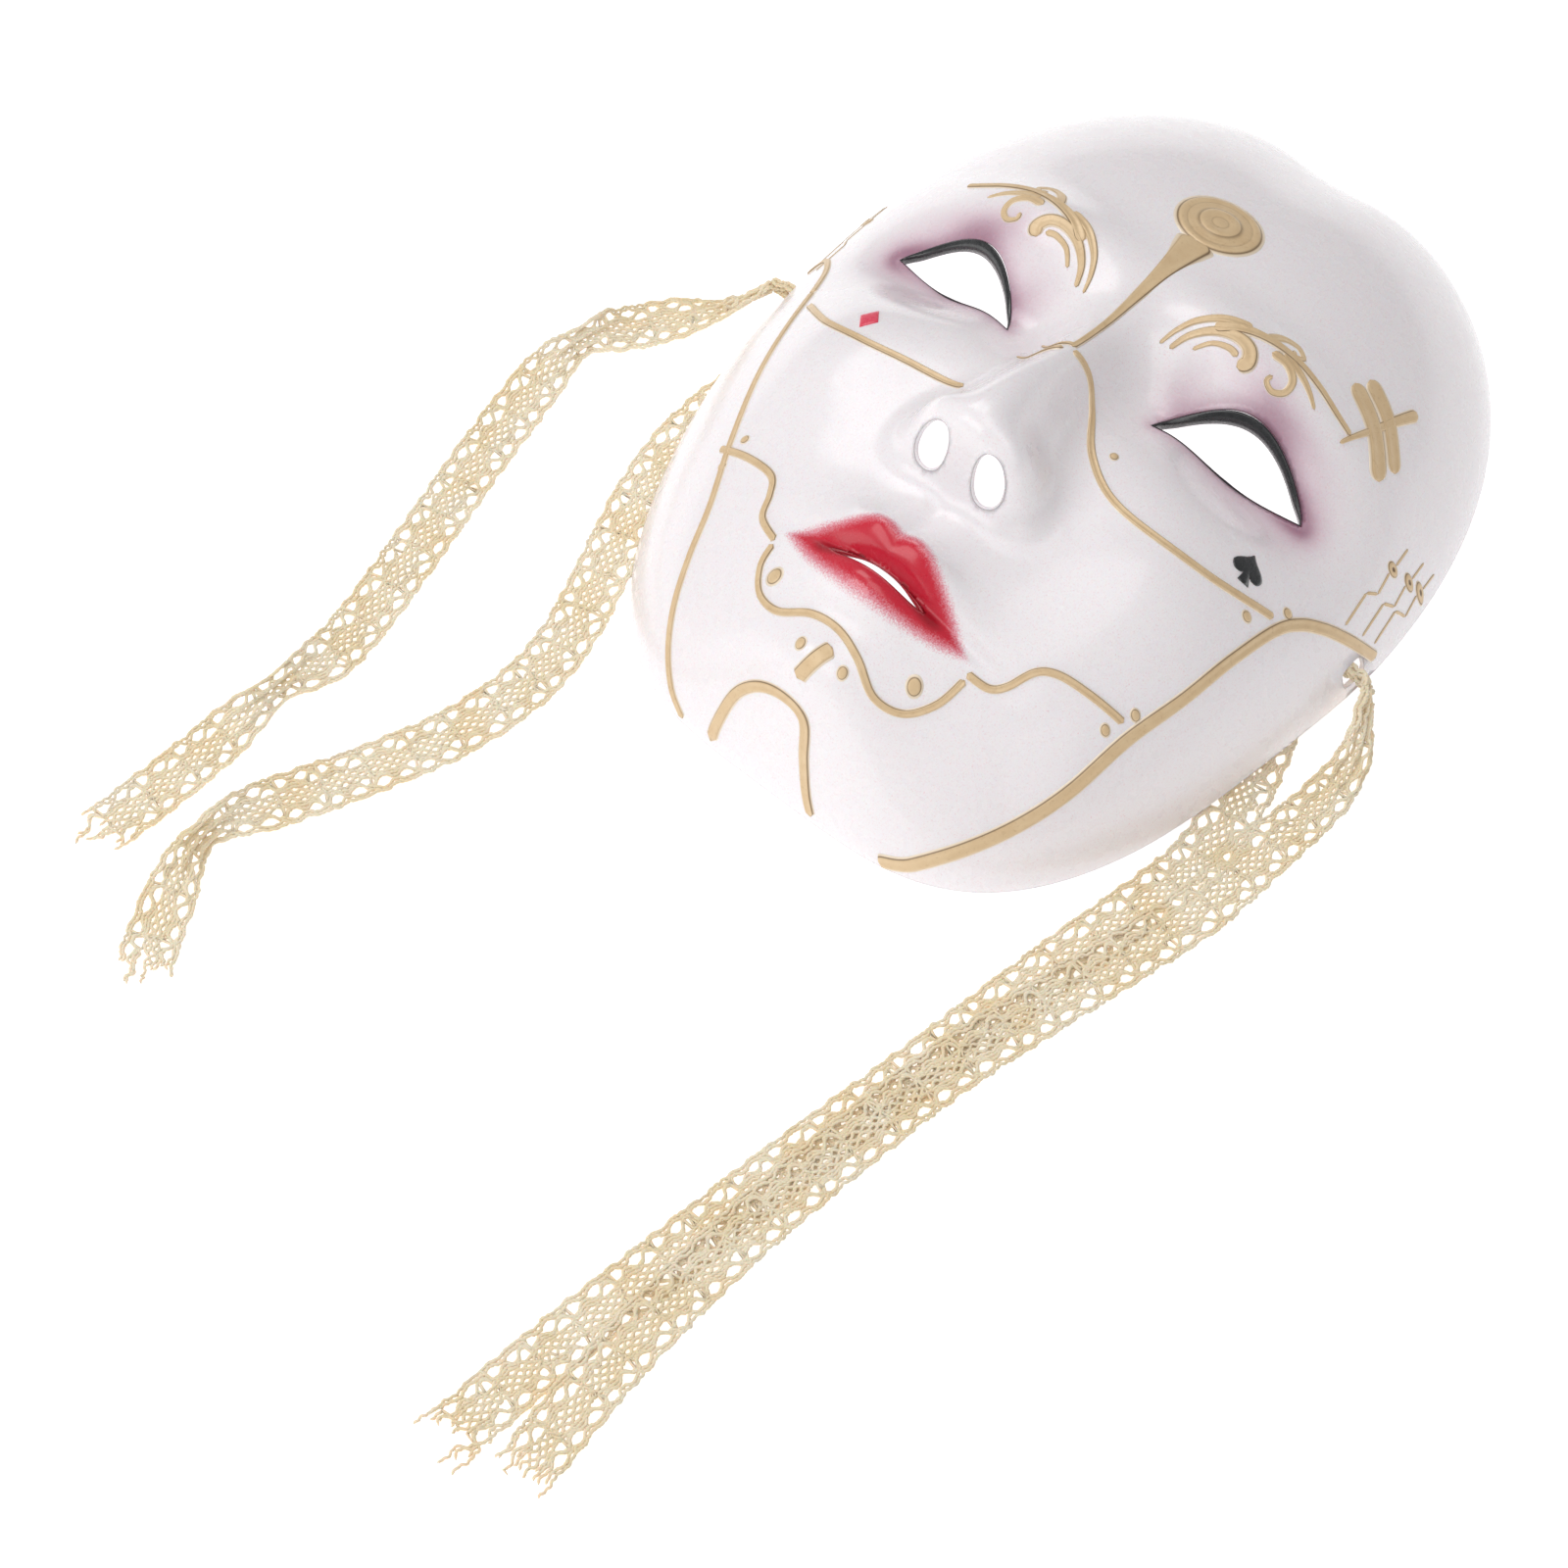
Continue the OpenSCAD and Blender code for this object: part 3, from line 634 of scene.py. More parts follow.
def inside_loop(points, loop):
    x, y = points[:, :1], points[:, 1:]
    x0, y0 = loop.T
    x1, y1 = np.roll(loop, -1, axis=0).T
    crosses = (y0 > y) != (y1 > y)
    rise = np.where(y1 == y0, 1, y1 - y0)
    return (crosses & (x < x0 + (y - y0) * (x1 - x0) / rise)).sum(axis=1) % 2 == 1


def nearest(points, loop):
    """Distance from each point to the closest point of the loop."""
    found = np.full(len(points), np.inf)
    for p in loop:
        found = np.minimum(found, np.hypot(points[:, 0] - p[0], points[:, 1] - p[1]))
    return found


def near_detail(plan):
    x, y = np.abs(plan[:, 0]), plan[:, 1]
    found = np.zeros(len(plan), bool)
    for x_low, x_high, y_low, y_high in FINE_AREAS:
        found |= (x > x_low) & (x < x_high) & (y > y_low) & (y < y_high)
    return found


def lattice(pitch, fine_pitch, loops):
    """Points spread over the face, clear of the loops and closer together at its details."""
    steps = int(HALF_LENGTH * SPREAD_LENGTH / fine_pitch)
    i, j = np.meshgrid(np.arange(-steps, steps), np.arange(-steps, steps), indexing="ij")
    flat = np.column_stack((
        ((i + 0.5 * (j % 2)) * fine_pitch).ravel(),
        (j * fine_pitch * math.sqrt(3) / 2).ravel(),
    ))
    ratio = round(pitch / fine_pitch)
    coarse = ((i - j // ratio % 2 * (ratio // 2)) % ratio == 0) & (j % ratio == 0)
    coarse = coarse.ravel()
    keep = np.abs(flat[:, 0]) < HALF_WIDTH * SPREAD_LENGTH
    flat, coarse = flat[keep], coarse[keep]
    keep = inside_loop(flat, loops[0])
    flat, coarse = flat[keep], coarse[keep]
    plan = roll_up(flat)
    keep = (coarse | near_detail(plan)) & (reach(*plan.T) < LATTICE_REACH)
    outline = rim_points(around(RIM_SPOKES))
    rings = [(outline - [0, WAIST_Y]) * share + [0, WAIST_Y] for share in RIM_RINGS]
    plan = np.vstack([plan[keep]] + rings)
    flat = unroll(plan)
    for loop in loops[1:]:
        gap = np.linalg.norm(loop - np.roll(loop, -1, axis=0), axis=1).mean()
        clear = nearest(flat, loop) > HOLE_CLEARANCE * max(gap, fine_pitch)
        keep = clear & ~inside_loop(flat, loop)
        flat, plan = flat[keep], plan[keep]
    return flat, plan


def cut_sheet(plan_loops, pitch, fine_pitch):
    """Plan points and triangles of the face between its rim and the loops of its holes."""
    loops = [unroll(loop) for loop in plan_loops]
    flat, plan = lattice(pitch, fine_pitch, loops)
    flat = np.vstack(loops + [flat])
    plan = np.vstack(plan_loops + [plan])
    edges, start = [], 0
    for loop in loops:
        n = len(loop)
        edges += [(start + k, start + (k + 1) % n) for k in range(n)]
        start += n
    found, _, faces, origin, _, _ = delaunay_2d_cdt(
        [Vector(p) for p in flat], edges, [], 0, MERGE_GAP
    )
    source = np.array([o[0] for o in origin])
    faces = source[np.array(faces)]
    middles = flat[faces].mean(axis=1)
    keep = inside_loop(middles, loops[0])
    for loop in loops[1:]:
        keep &= ~inside_loop(middles, loop)
    return plan, faces[keep]


def rolled_edge(outer, inner, toward, bulge):
    """Rows of points that carry an edge from the outer skin round to the inner one."""
    tangent = np.roll(outer, -1, axis=0) - np.roll(outer, 1, axis=0)
    half = (outer - inner) / 2
    middle = (outer + inner) / 2
    out = unit(np.cross(tangent, half))
    out *= np.sign((out * toward).sum(axis=1, keepdims=True))
    angles = np.linspace(0, math.pi, LIP_ROWS + 2)[1:-1]
    return [middle + half * math.cos(a) + out * bulge * math.sin(a) for a in angles]


def lip_depth(x, y):
    """How far inside the edge of the painted lips a point is, negative outside."""
    t = np.clip(np.abs(x) / LIP_HALF_W, 0, 1)
    dip = CUPID_DIP * np.exp(-(x / CUPID_W) ** 2)
    upper = LIP_CORNER_Y + UPPER_LIP_H * (1 - t ** UPPER_LIP_POWER) - dip
    lower = LIP_CORNER_Y - LOWER_LIP_H * (1 - t ** LOWER_LIP_POWER) ** LOWER_LIP_FULLNESS
    return np.minimum(upper - y, y - lower)


def face_paint(plan):
    """Eye shadow, lips and the deep red beside the slit, over plan points."""
    x, y = plan.T
    gap = nearest(np.column_stack((np.abs(x), y)), eye_outline(1))
    shadow = SHADOW_EDGE * np.exp(-(gap / SHADOW_REACH) ** SHADOW_POWER)
    for *place, strength in SHADOW_CLOUDS:
        shadow = shadow + strength * blob(x, y, *place)
    depth = lip_depth(x, y)
    lips = np.clip(depth / LIP_FADE, 0, 1)
    line_y = SLIT_Y + SLIT_BOW * np.maximum(0, 1 - (x / (SLIT_LENGTH / 2)) ** 2)
    ends = smooth((LIP_HALF_W - HEART_END - np.abs(x)) / HEART_FADE)
    seam = np.exp(-((y - line_y) / HEART_SPREAD) ** 2) * ends
    heart = seam * np.clip(depth / HEART_DEPTH, 0, 1)
    return np.column_stack((np.clip(shadow, 0, 1), lips, heart, np.ones(len(x))))


def build_shell(material):
    rim = rim_points(around(RIM_SPOKES))
    loops = [rim, slit_outline(LIP_ROLL)]
    for side in (-1, 1):
        loops += [
            eye_outline(side, LIP_ROLL),
            nostril_outline(side, LIP_ROLL),
            slot_outline(side, LIP_ROLL),
        ]
    outer_plan, outer_faces = cut_sheet(loops, OUTER_PITCH, FINE_PITCH)
    inner_plan, inner_faces = cut_sheet(loops, INNER_PITCH, INNER_PITCH)
    outer, inner = face_points(outer_plan), inner_points(inner_plan)
    outer[:RIM_SPOKES, 2] += RIM_ROLL
    inner[:RIM_SPOKES, 2] += RIM_ROLL
    points = [outer, inner]
    faces = [outer_faces, inner_faces[:, ::-1] + len(outer)]
    count, start = len(outer) + len(inner), 0
    for loop in loops:
        n = len(loop)
        ring = slice(start, start + n)
        is_rim = loop is rim
        toward = np.array([0, 0, -1]) if is_rim else outer[ring].mean(axis=0) - outer[ring]
        rows = rolled_edge(outer[ring], inner[ring], toward, RIM_ROLL if is_rim else LIP_ROLL)
        chain = [np.arange(start, start + n)]
        for row in rows:
            chain.append(np.arange(count, count + n))
            points.append(row)
            count += n
        chain.append(np.arange(start, start + n) + len(outer))
        for upper, lower in zip(chain, chain[1:]):
            quads = np.column_stack((upper, np.roll(upper, -1), np.roll(lower, -1), lower))
            faces.append(split_quads(quads if is_rim else quads[:, ::-1]))
        start += n
    points = np.vstack(points)
    colours = face_paint(points[:, :2])
    return add_mesh("moulded_shell", points, np.vstack(faces), material,
                    ["mask_shell"], colours)


def build_eye_lining(side, material):
    """The black band round the edge of an eye opening: broad over the eye, thin under it."""
    outline = eye_outline(side, LINING_GROW)
    t = (np.abs(outline[:, 0]) - EYE_INNER_X) / EYE_LENGTH
    over = (outline[:, 1] - EYE_CORNER_Y - EYE_LIFT * t) / EYE_RISE
    width = LINING_THIN_W + LINING_BROAD_W * smooth(over * LINING_WIDENING)
    inner_line = eye_outline(side)
    middle = [side * (EYE_INNER_X + EYE_LENGTH / 2), EYE_CORNER_Y + EYE_LIFT / 2 + 2]
    hole = inner_line + unit(middle - inner_line) * width[:, None]
    top, inward = face_points(outline), face_points(hole)
    lift = np.array([0, 0, 1])
    rows = np.stack([top + (inward - top) * s + lift * z for s, z in LINING_PROFILE], axis=1)
    quads = tube_quads(len(outline), len(LINING_PROFILE), closed_rows=True)
    if side < 0:
        quads = quads[:, ::-1]
    name = "left" if side > 0 else "right"
    return add_mesh("eye_lining_" + name, rows.reshape(-1, 3), quads, material,
                    ["eye_edging_" + name])


# --- Gilding ---

GROOVE_W = 3.4
SEAM_W = 1.6
GILT_H = 0.5
GILT_PITCH = 0.5
CURVE_STEPS = 12
# Lines narrower than the first stand lower, down to the second as a share of the height.
FULL_HEIGHT_W = 1.2
LEAST_HEIGHT = 0.35
# Each stroke stands this much lower than the one before it, where they cross.
STROKE_DROP = 0.04
LINE_TIPS = 0.3
STROKE_TIPS = 0.7
# Cross-section of a gilt line: share of the half width, share of the height, painted shadow along
# the edge, painted highlight outside it. A shallow channel between two soft ridges, with a
# feathered margin outside.
GILT_PROFILE = [
    (-1.35, -0.3, 0, 1), (-1.3, 0.12, 0, 1), (-1.08, 0.3, 0.5, 0.4), (-0.98, 0.62, 1, 0),
    (-0.86, 0.95, 0.35, 0), (-0.66, 1.0, 0, 0), (-0.35, 0.78, 0, 0), (0, 0.68, 0, 0),
    (0.35, 0.78, 0, 0), (0.66, 1.0, 0, 0), (0.88, 0.9, 0.1, 0), (1.0, 0.55, 0.5, 0),
    (1.1, 0.3, 0.2, 0.5), (1.3, 0.12, 0, 1), (1.35, -0.3, 0, 1),
]

NOSE_SEAM = [(1, -8), (6, -8), (11, -13), (18, -22), (28, -28), (41, -29), (55, -26), (68.6, -18)]
CHEEK_LINE = [(-15, -27), (-29, -28), (-43, -29), (-55, -27), (-66, -20)]
JAW_GROOVE = [(30, -110.4), (37.5, -107.5), (46, -100), (53, -90), (58, -78), (61.5, -62),
              (65.5, -47), (68, -33), (70.5, -19), (73, -12.5), (76.5, -7.5), (80.5, -3), (84, 1),
              (86, 4)]
JAW_SEAM = [(-28.5, -110.6), (-34, -108), (-39, -103), (-43, -96), (-46, -87), (-49, -76),
            (-55, -62), (-61, -46), (-66, -28), (-70, -14)]
SLOT_LOOP = [(-70, -14), (-74, -4), (-79, 2), (-83, 0)]
STEP_LEFT = [(27.6, -78), (33, -77), (36, -74), (39, -68), (43, -65), (50, -63), (59, -61)]
STEP_RIGHT = [(-57, -63), (-47, -64), (-39, -66), (-36, -70), (-34, -75), (-27.6, -78.3)]
LIP_PANEL = [(-27.3, -79.2), (-27, -84), (-23, -89), (-16, -91), (-8, -89), (0, -89), (7, -91),
             (14, -94), (21, -92), (26, -86), (28, -79.2)]
CHIN_ARCH = [(-19.3, -111.3), (-18.8, -108.8), (-16.7, -105), (-12, -103), (-5, -102.6),
             (2, -103.6), (5, -107), (8.2, -110), (11, -111.6)]
CHIN_BAR = [(-3, -99.8), (1.2, -92.6)]
NECK = [(0, 43), (0, 34), (0, 22), (0, 8), (0, -7)]
SPURS = [
    ([(-1, -9), (-6, -12), (-12, -11)], 1.6, 0.6),
    ([(0, -6), (-5, -7), (-10, -4)], 1.4, 0.6),
]
# Strokes of a brow scroll for the wearer's left: points, width at start, width at end.
SCROLL = [
    ([(56, 27), (51, 27.5), (45, 28.5), (38, 29), (31, 28), (24, 25.5), (19, 22)], 1.2, 2.6),
    ([(11, 12.5), (12.3, 17), (15, 21.5), (20, 25.5), (26, 27.5)], 0.7, 2.4),
    ([(13.5, 13), (15.5, 17.5), (19.5, 21.3), (24.5, 23.2), (28.6, 22.6), (30.4, 19.8),
      (28.8, 17.6)], 1, 3.4),
    ([(18, 15.5), (21, 18.8), (25, 20), (27.6, 19.4)], 0.8, 1.5),
    ([(33, 25.5), (37, 26), (40.3, 24), (40.6, 20.8), (38.3, 18.8), (36, 19.6),
      (36.4, 21.4)], 2.2, 1),
    ([(35, 28), (41, 26.6), (44.5, 25.2), (47.5, 23.4)], 2.4, 0.7),
    ([(30, 27.5), (32, 31.5), (35.5, 33), (38.3, 31.2), (37, 29.8), (35.6, 31)], 2.4, 1),
]
STITCH = [
    ([(48.5, 39), (58, 34.5), (66, 26.5)], 4.8, 4.4),
    ([(50, 43.5), (58.5, 40), (67, 32)], 4.2, 3.8),
    ([(55.5, 23.5), (57.5, 31), (59.5, 41), (61.5, 49)], 0.9, 2.8),
]
DOTS = [
    (-22, -85, 1.6), (20, -87, 1.6), (-6, -95, 1.1), (6, -95, 1.1), (57, -65, 1),
    (60, -58, 1), (65, -24, 1), (70, -14, 1), (22, -19, 0.9), (-52, -60, 0.9),
    (-53, -67, 0.9),
]
MEDALLION_AT = (0, 51)
MEDALLION_R = (10.5, 9)
CIRCUIT_START = ((79, -1.5), (82.4, 1.8), (84.6, 4.6))
CIRCUIT_RUN = 9.5
CIRCUIT_RISE = 18
CIRCUIT_TAIL = 5.5
CIRCUIT_LEAN = -1
CIRCUIT_JOG = 1.6
# Where a line's jog ends, in runs past its start.
CIRCUIT_JOG_END = 1.3
CIRCUIT_W = 0.7
CIRCUIT_H = 0.3
CIRCUIT_PAD_R = 1.3
CIRCUIT_PAD_GAP = 0.1
ROUND_STEPS = 28
MEDALLION_STEPS = 72
DIAMOND_STEPS = 4
SPADE_AT = (59, -16)
SPADE_SIZE = 4
SPADE_TURN = math.radians(17)
DIAMOND_AT = (-46, -22.5)
DIAMOND_SIZE = (2.6, 3.6)


class Gilding:
    """Gathers the points, faces and paint of one gilt piece on the face."""

    def __init__(self):
        self.points, self.faces, self.colours, self.count = [], [], [], 0

    def add(self, points, faces, colours):
        self.points.append(points)
        self.faces.append(faces + self.count)
        self.colours.append(colours)
        self.count += len(points)

    def line(self, points, w_start=SEAM_W, w_end=SEAM_W, height=GILT_H, ease=1, tips=LINE_TIPS,
             flip=1):
        """A line over the face. tips is the length of each rounded end, in widths."""
        plan = even(curve(points, CURVE_STEPS), GILT_PITCH)
        base, up = face_points(plan), face_normals(plan)
        run = along(base)
        t = run / run[-1]
        width = w_end + (w_start - w_end) * (1 - t) ** ease
        end = np.minimum(run, run[-1] - run) / np.maximum(tips * width, 0.01)
        width = width * np.sqrt(np.clip(1 - (1 - np.clip(end, 0, 1)) ** 2, 0.003, 1))
        side = unit(np.cross(np.gradient(base, axis=0), up))
        tall = height * np.clip(width / FULL_HEIGHT_W, LEAST_HEIGHT, 1)
        rows = np.stack([
            base + side * (flip * s * width / 2)[:, None] + up * (h * tall)[:, None]
            for s, h, _, _ in GILT_PROFILE
        ], axis=1)
        n = len(GILT_PROFILE)
        # Painted shadow along the edges and painted highlight round them, from the profile.
        tone = np.tile([(painted_shade, painted_highlight, 0, 1) for _, _, painted_shade, painted_highlight in GILT_PROFILE],
                       (len(rows), 1))
        quads = tube_quads(len(rows), n)
        if flip > 0:
            quads = quads[:, ::-1]
        faces = [split_quads(quads)]
        for first, order in ((0, 1), ((len(rows) - 1) * n, -1)):
            fan = [(first, first + k, first + k + 1)[::order * flip] for k in range(1, n - 1)]
            faces.append(np.array(fan))
        self.add(rows.reshape(-1, 3), np.vstack(faces), tone)

    def plate(self, middle, outline, profile):
        """A plate on the face whose profile is (share of the way out, height, painted shade,
        painted highlight).
        """
        middle, outline = np.asarray(middle, float), np.asarray(outline, float)
        n = len(outline)
        rings, tone = [], []
        for share, height, painted_shade, painted_highlight in profile:
            plan = middle + (outline - middle) * share
            rings.append(face_points(plan) + face_normals(plan) * height)
            tone.append(np.tile((painted_shade, painted_highlight, 0, 1), (n, 1)))
        quads = tube_quads(len(profile), n)
        tips = []
        for height in (profile[0][1], profile[-1][1]):
            tips.append(face_points(middle[None]) + face_normals(middle[None]) * height)
        tone.append(np.array([(profile[0][2], profile[0][3], 0, 1),
                              (profile[-1][2], profile[-1][3], 0, 1)]))
        k = np.arange(n)
        base, top = len(profile) * n, (len(profile) - 1) * n
        fans = np.vstack((
            np.column_stack((np.full(n, base), k, (k + 1) % n)),
            np.column_stack((np.full(n, base + 1), top + (k + 1) % n, top + k)),
        ))
        self.add(np.vstack(rings + tips), np.vstack((split_quads(quads[:, ::-1]), fans)),
                 np.vstack(tone))

    def build(self, name, material, replaces):
        return add_mesh(name, np.vstack(self.points), np.vstack(self.faces), material,
                        replaces, np.vstack(self.colours))


def ellipse(middle, radii, steps):
    a = around(steps)
    return np.column_stack((middle[0] + radii[0] * np.cos(a), middle[1] + radii[1] * np.sin(a)))


# Profiles of the gilt dots, circuit pads and medallion: share of the way out, height, painted shade
# in the grooves and at the edge, painted highlight round the outside.
DOT_PROFILE = [
    (0.3, 0.42, 0, 0), (0.6, 0.4, 0, 0), (0.82, 0.32, 0.2, 0), (0.95, 0.18, 0.9, 0),
    (1.08, 0.08, 0.3, 0.6), (1.3, 0.04, 0, 1), (1.34, -0.12, 0, 1),
]
PAD_PROFILE = [
    (0.16, 0.12, 1, 0), (0.28, 0.3, 0.8, 0), (0.45, 0.38, 0, 0), (0.78, 0.36, 0, 0),
    (0.95, 0.18, 0.9, 0), (1.08, 0.06, 0.2, 0.7), (1.2, -0.12, 0, 1),
]
MEDALLION_PROFILE = [
    (0.06, 1.0, 0, 0), (0.14, 0.98, 0.1, 0), (0.2, 0.82, 0.5, 0), (0.26, 0.95, 0, 0),
    (0.36, 1.12, 0, 0), (0.45, 1.08, 0, 0), (0.5, 0.82, 0.7, 0), (0.56, 0.62, 0.4, 0),
    (0.66, 0.55, 0, 0), (0.74, 0.52, 0.25, 0), (0.78, 0.42, 0.45, 0), (0.83, 0.6, 0, 0),
    (0.9, 0.68, 0, 0), (0.96, 0.5, 0.3, 0), (1.0, 0.25, 0.9, 0), (1.04, 0.1, 0.3, 0.6),
    (1.09, 0.05, 0, 1), (1.1, -0.12, 0, 1),
]
MARK_PROFILE = [
    (0.4, 0.36, 0, 0), (0.8, 0.34, 0, 0), (0.93, 0.28, 0, 0), (1.0, 0.12, 0, 0),
    (1.01, -0.1, 0, 0),
]
# Right half of a spade: point up, a round lobe and a flared stem.
SPADE_HALF = [(0, 1.15), (0.3, 0.7), (0.75, 0.25), (0.92, -0.15), (0.74, -0.5), (0.42, -0.55),
              (0.2, -0.42), (0.34, -1)]
# Gilt pieces of one line: points, then width at start, width at end, height and ease of the
# change where they aren't those of a seam.
SINGLE_LINES = {
    "medallion_neck": (NECK, 9, 1.4, 0.45, 3),
    "nose_seam_left": (NOSE_SEAM,),
    "cheek_line_right": (CHEEK_LINE,),
    "jaw_groove_left": (JAW_GROOVE, GROOVE_W, GROOVE_W * 0.7),
    "jaw_seam_right": (JAW_SEAM,),
    "slot_loop_right": (SLOT_LOOP,),
    "step_seam_left": (STEP_LEFT,),
    "step_seam_right": (STEP_RIGHT,),
    "lip_panel_seam": (LIP_PANEL,),
    "chin_arch": (CHIN_ARCH, 2.6, 2.2),
    "chin_bar": (CHIN_BAR, 3.2, 3.2),
}
# Gilt pieces of several strokes, and 1 or -1 for the side that they lie on.
STROKE_GROUPS = {
    "brow_scroll_left": (SCROLL, 1), "brow_scroll_right": (SCROLL, -1),
    "bridge_spurs": (SPURS, 1), "temple_stitch": (STITCH, 1),
}


def spade_outline():
    right = np.vstack((curve(SPADE_HALF[:-1], 4), SPADE_HALF[-1]))
    left = right[-1:0:-1] * [-1, 1]
    x, y = np.vstack((right, left)).T * SPADE_SIZE
    turned = np.column_stack((
        x * math.cos(SPADE_TURN) - y * math.sin(SPADE_TURN),
        x * math.sin(SPADE_TURN) + y * math.cos(SPADE_TURN),
    ))
    return (turned + SPADE_AT)[::-1]


def build_circuit(side, name, gilt):
    """Three fine lines that jog outward, each with a round pad and a short tail past it."""
    circuit = Gilding()
    pad_step = CIRCUIT_PAD_R + CIRCUIT_PAD_GAP
    for x, y in CIRCUIT_START:
        bend = (x + CIRCUIT_LEAN, y + CIRCUIT_RUN)
        jog = (bend[0] + CIRCUIT_JOG, y + CIRCUIT_JOG_END * CIRCUIT_RUN)
        pad_x, foot_y = x + CIRCUIT_JOG + 2 * CIRCUIT_LEAN, y + CIRCUIT_RISE
        turns = [(x, y), bend, jog, (pad_x, foot_y)]
        top_y = foot_y + 2 * pad_step
        tail = [(pad_x, top_y), (pad_x + CIRCUIT_LEAN / 2, top_y + CIRCUIT_TAIL)]
        for run in (*zip(turns, turns[1:]), tail):
            circuit.line([(side * a, b) for a, b in run], CIRCUIT_W, CIRCUIT_W, CIRCUIT_H,
                         flip=side)
        pad = (side * pad_x, foot_y + pad_step)
        outline = ellipse(pad, (CIRCUIT_PAD_R * side, CIRCUIT_PAD_R), ROUND_STEPS)
        circuit.plate(pad, outline[::side], PAD_PROFILE)
    node = "circuit_lines_" + name
    circuit.build(node + "_gilt", gilt, [node])


def build_gilding(gilt):
    for node, line in SINGLE_LINES.items():
        piece = Gilding()
        piece.line(*line)
        piece.build(node + "_gilt", gilt, [node])

    for node, (lines, side) in STROKE_GROUPS.items():
        piece = Gilding()
        for i, (points, w_start, w_end) in enumerate(lines):
            piece.line([(side * x, y) for x, y in points], w_start, w_end,
                       GILT_H - STROKE_DROP * i, tips=STROKE_TIPS, flip=side)
        piece.build(node + "_gilt", gilt, [node])

    dots = Gilding()
    for x, y, r in DOTS:
        dots.plate((x, y), ellipse((x, y), (r, r), ROUND_STEPS), DOT_PROFILE)
    dots.build("seam_dots_gilt", gilt, ["seam_dots"])

    medallion = Gilding()
    outline = ellipse(MEDALLION_AT, MEDALLION_R, MEDALLION_STEPS)
    medallion.plate(MEDALLION_AT, outline, MEDALLION_PROFILE)
    medallion.build("forehead_medallion_gilt", gilt, ["forehead_medallion"])

    for side, name in ((1, "left"), (-1, "right")):
        build_circuit(side, name, gilt)


def build_marks(black, coral):
    spade = Gilding()
    spade.plate(SPADE_AT, spade_outline(), MARK_PROFILE)
    spade.build("cheek_spade_mark", black, ["cheek_spade"])

    corners = ellipse(DIAMOND_AT, DIAMOND_SIZE, 4)
    edge = np.vstack([
        start + (end - start) * step / DIAMOND_STEPS
        for start, end in zip(corners, np.roll(corners, -1, axis=0))
        for step in range(DIAMOND_STEPS)
    ])
    diamond = Gilding()
    diamond.plate(DIAMOND_AT, edge, MARK_PROFILE)
    diamond.build("cheek_diamond_mark", coral, ["cheek_diamond"])


# --- Ribbons ---

RIBBON_W = 13
THREAD_R = 0.38
THREAD_SIDES = 5
THREAD_PITCH = 0.45
LANES = 13
LANE_W = 0.98
# The pattern of holes comes round again after this length.
REPEAT = 11.2
# Holes of one repeat: [across, along, half width, half length]. The large ovals lie in a
# zigzag near each edge, the small ones in the middle and in the borders.
LARGE_HOLES = [
    (side * across, along + 0.9 * (side > 0), 1.4, 1.9)
    for side in (1, -1) for across, along in ((4.2, 1.9), (2.8, 5.0), (4.2, 7.6))
]
SMALL_HOLES = [
    (across, 1.4 * row, 0.72, 0.85)
    for row in range(8) for across in ((-1.47, 0.49) if row % 2 else (-0.49, 1.47))
]
BORDER_HOLES = [
    (side * 5.4, 1.6 * row + 0.8 * (side > 0), 0.36, 0.6) for row in range(7) for side in (1, -1)
]
# The two threads of a pair: half the space between them across and in height, and the
# length of half a turn.
PAIR_HALF_W = 0.15
PAIR_HALF_H = 0.19
HALF_TURN = 0.95
# Steepness of the change of lanes, and how far it is shifted along the repeat.
CHANGE_RATE = 9
CHANGE_SHIFT = 0.14
HOLE_POWER = 0.6
# Unevenness of handmade lace: size of the drift, and the length of its longest wave.
REPEAT_DRIFT = (0.9, 61)
TWIST_DRIFT = (0.6, 31)
HOLE_DRIFT = (0.22, 19)
HOLE_SIZE_DRIFT = (0.16, 13)
THREAD_DRIFT = (0.06, 7)
# A gathered ribbon folds along its length: height of the folds, their rate across and along.
FOLD_H = 1.7
FOLD_ACROSS = 1.5
FOLD_ALONG = 0.09
# Frayed end: steps past the route's end, loose threads and their reach, cut threads and theirs.
FRAY_STEPS = 30
LOOSE_THREADS = 4
LOOSE_REACH = (2, 6.5)
CUT_REACH = (-4.5, 1.5)
FRAY_START = 5
FRAY_LENGTH = 8
FRAY_LIMIT = 1.6
FRAY_SPREAD = 0.9
ROUTE_STEPS = 24
FLOOR_GAP = 0.15

# Ribbon routes in metres: x, y, z, roll about the run in degrees, share of the full width.
RIGHT_OUTER = [
    (0.090, -0.005, 0.008, 70, 0.4), (0.093, -0.010, 0.006, 50, 0.45),
    (0.097, -0.018, 0.003, 20, 0.6), (0.098, -0.029, 0.0012, 5, 0.8),
    (0.097, -0.041, 0.0008, 0, 0.9), (0.095, -0.053, 0.0008, 0, 1),
    (0.093, -0.072, 0.0012, 0, 1), (0.088, -0.092, 0.0021, 0, 1),
    (0.081, -0.116, 0.0021, 0, 1), (0.074, -0.142, 0.0021, 0, 1),
    (0.069, -0.170, 0.0021, 0, 1), (0.065, -0.198, 0.0021, 0, 1),
    (0.063, -0.226, 0.0021, 0, 1), (0.063, -0.248, 0.0020, 0, 1),
    (0.064, -0.268, 0.0016, 0, 1),
]
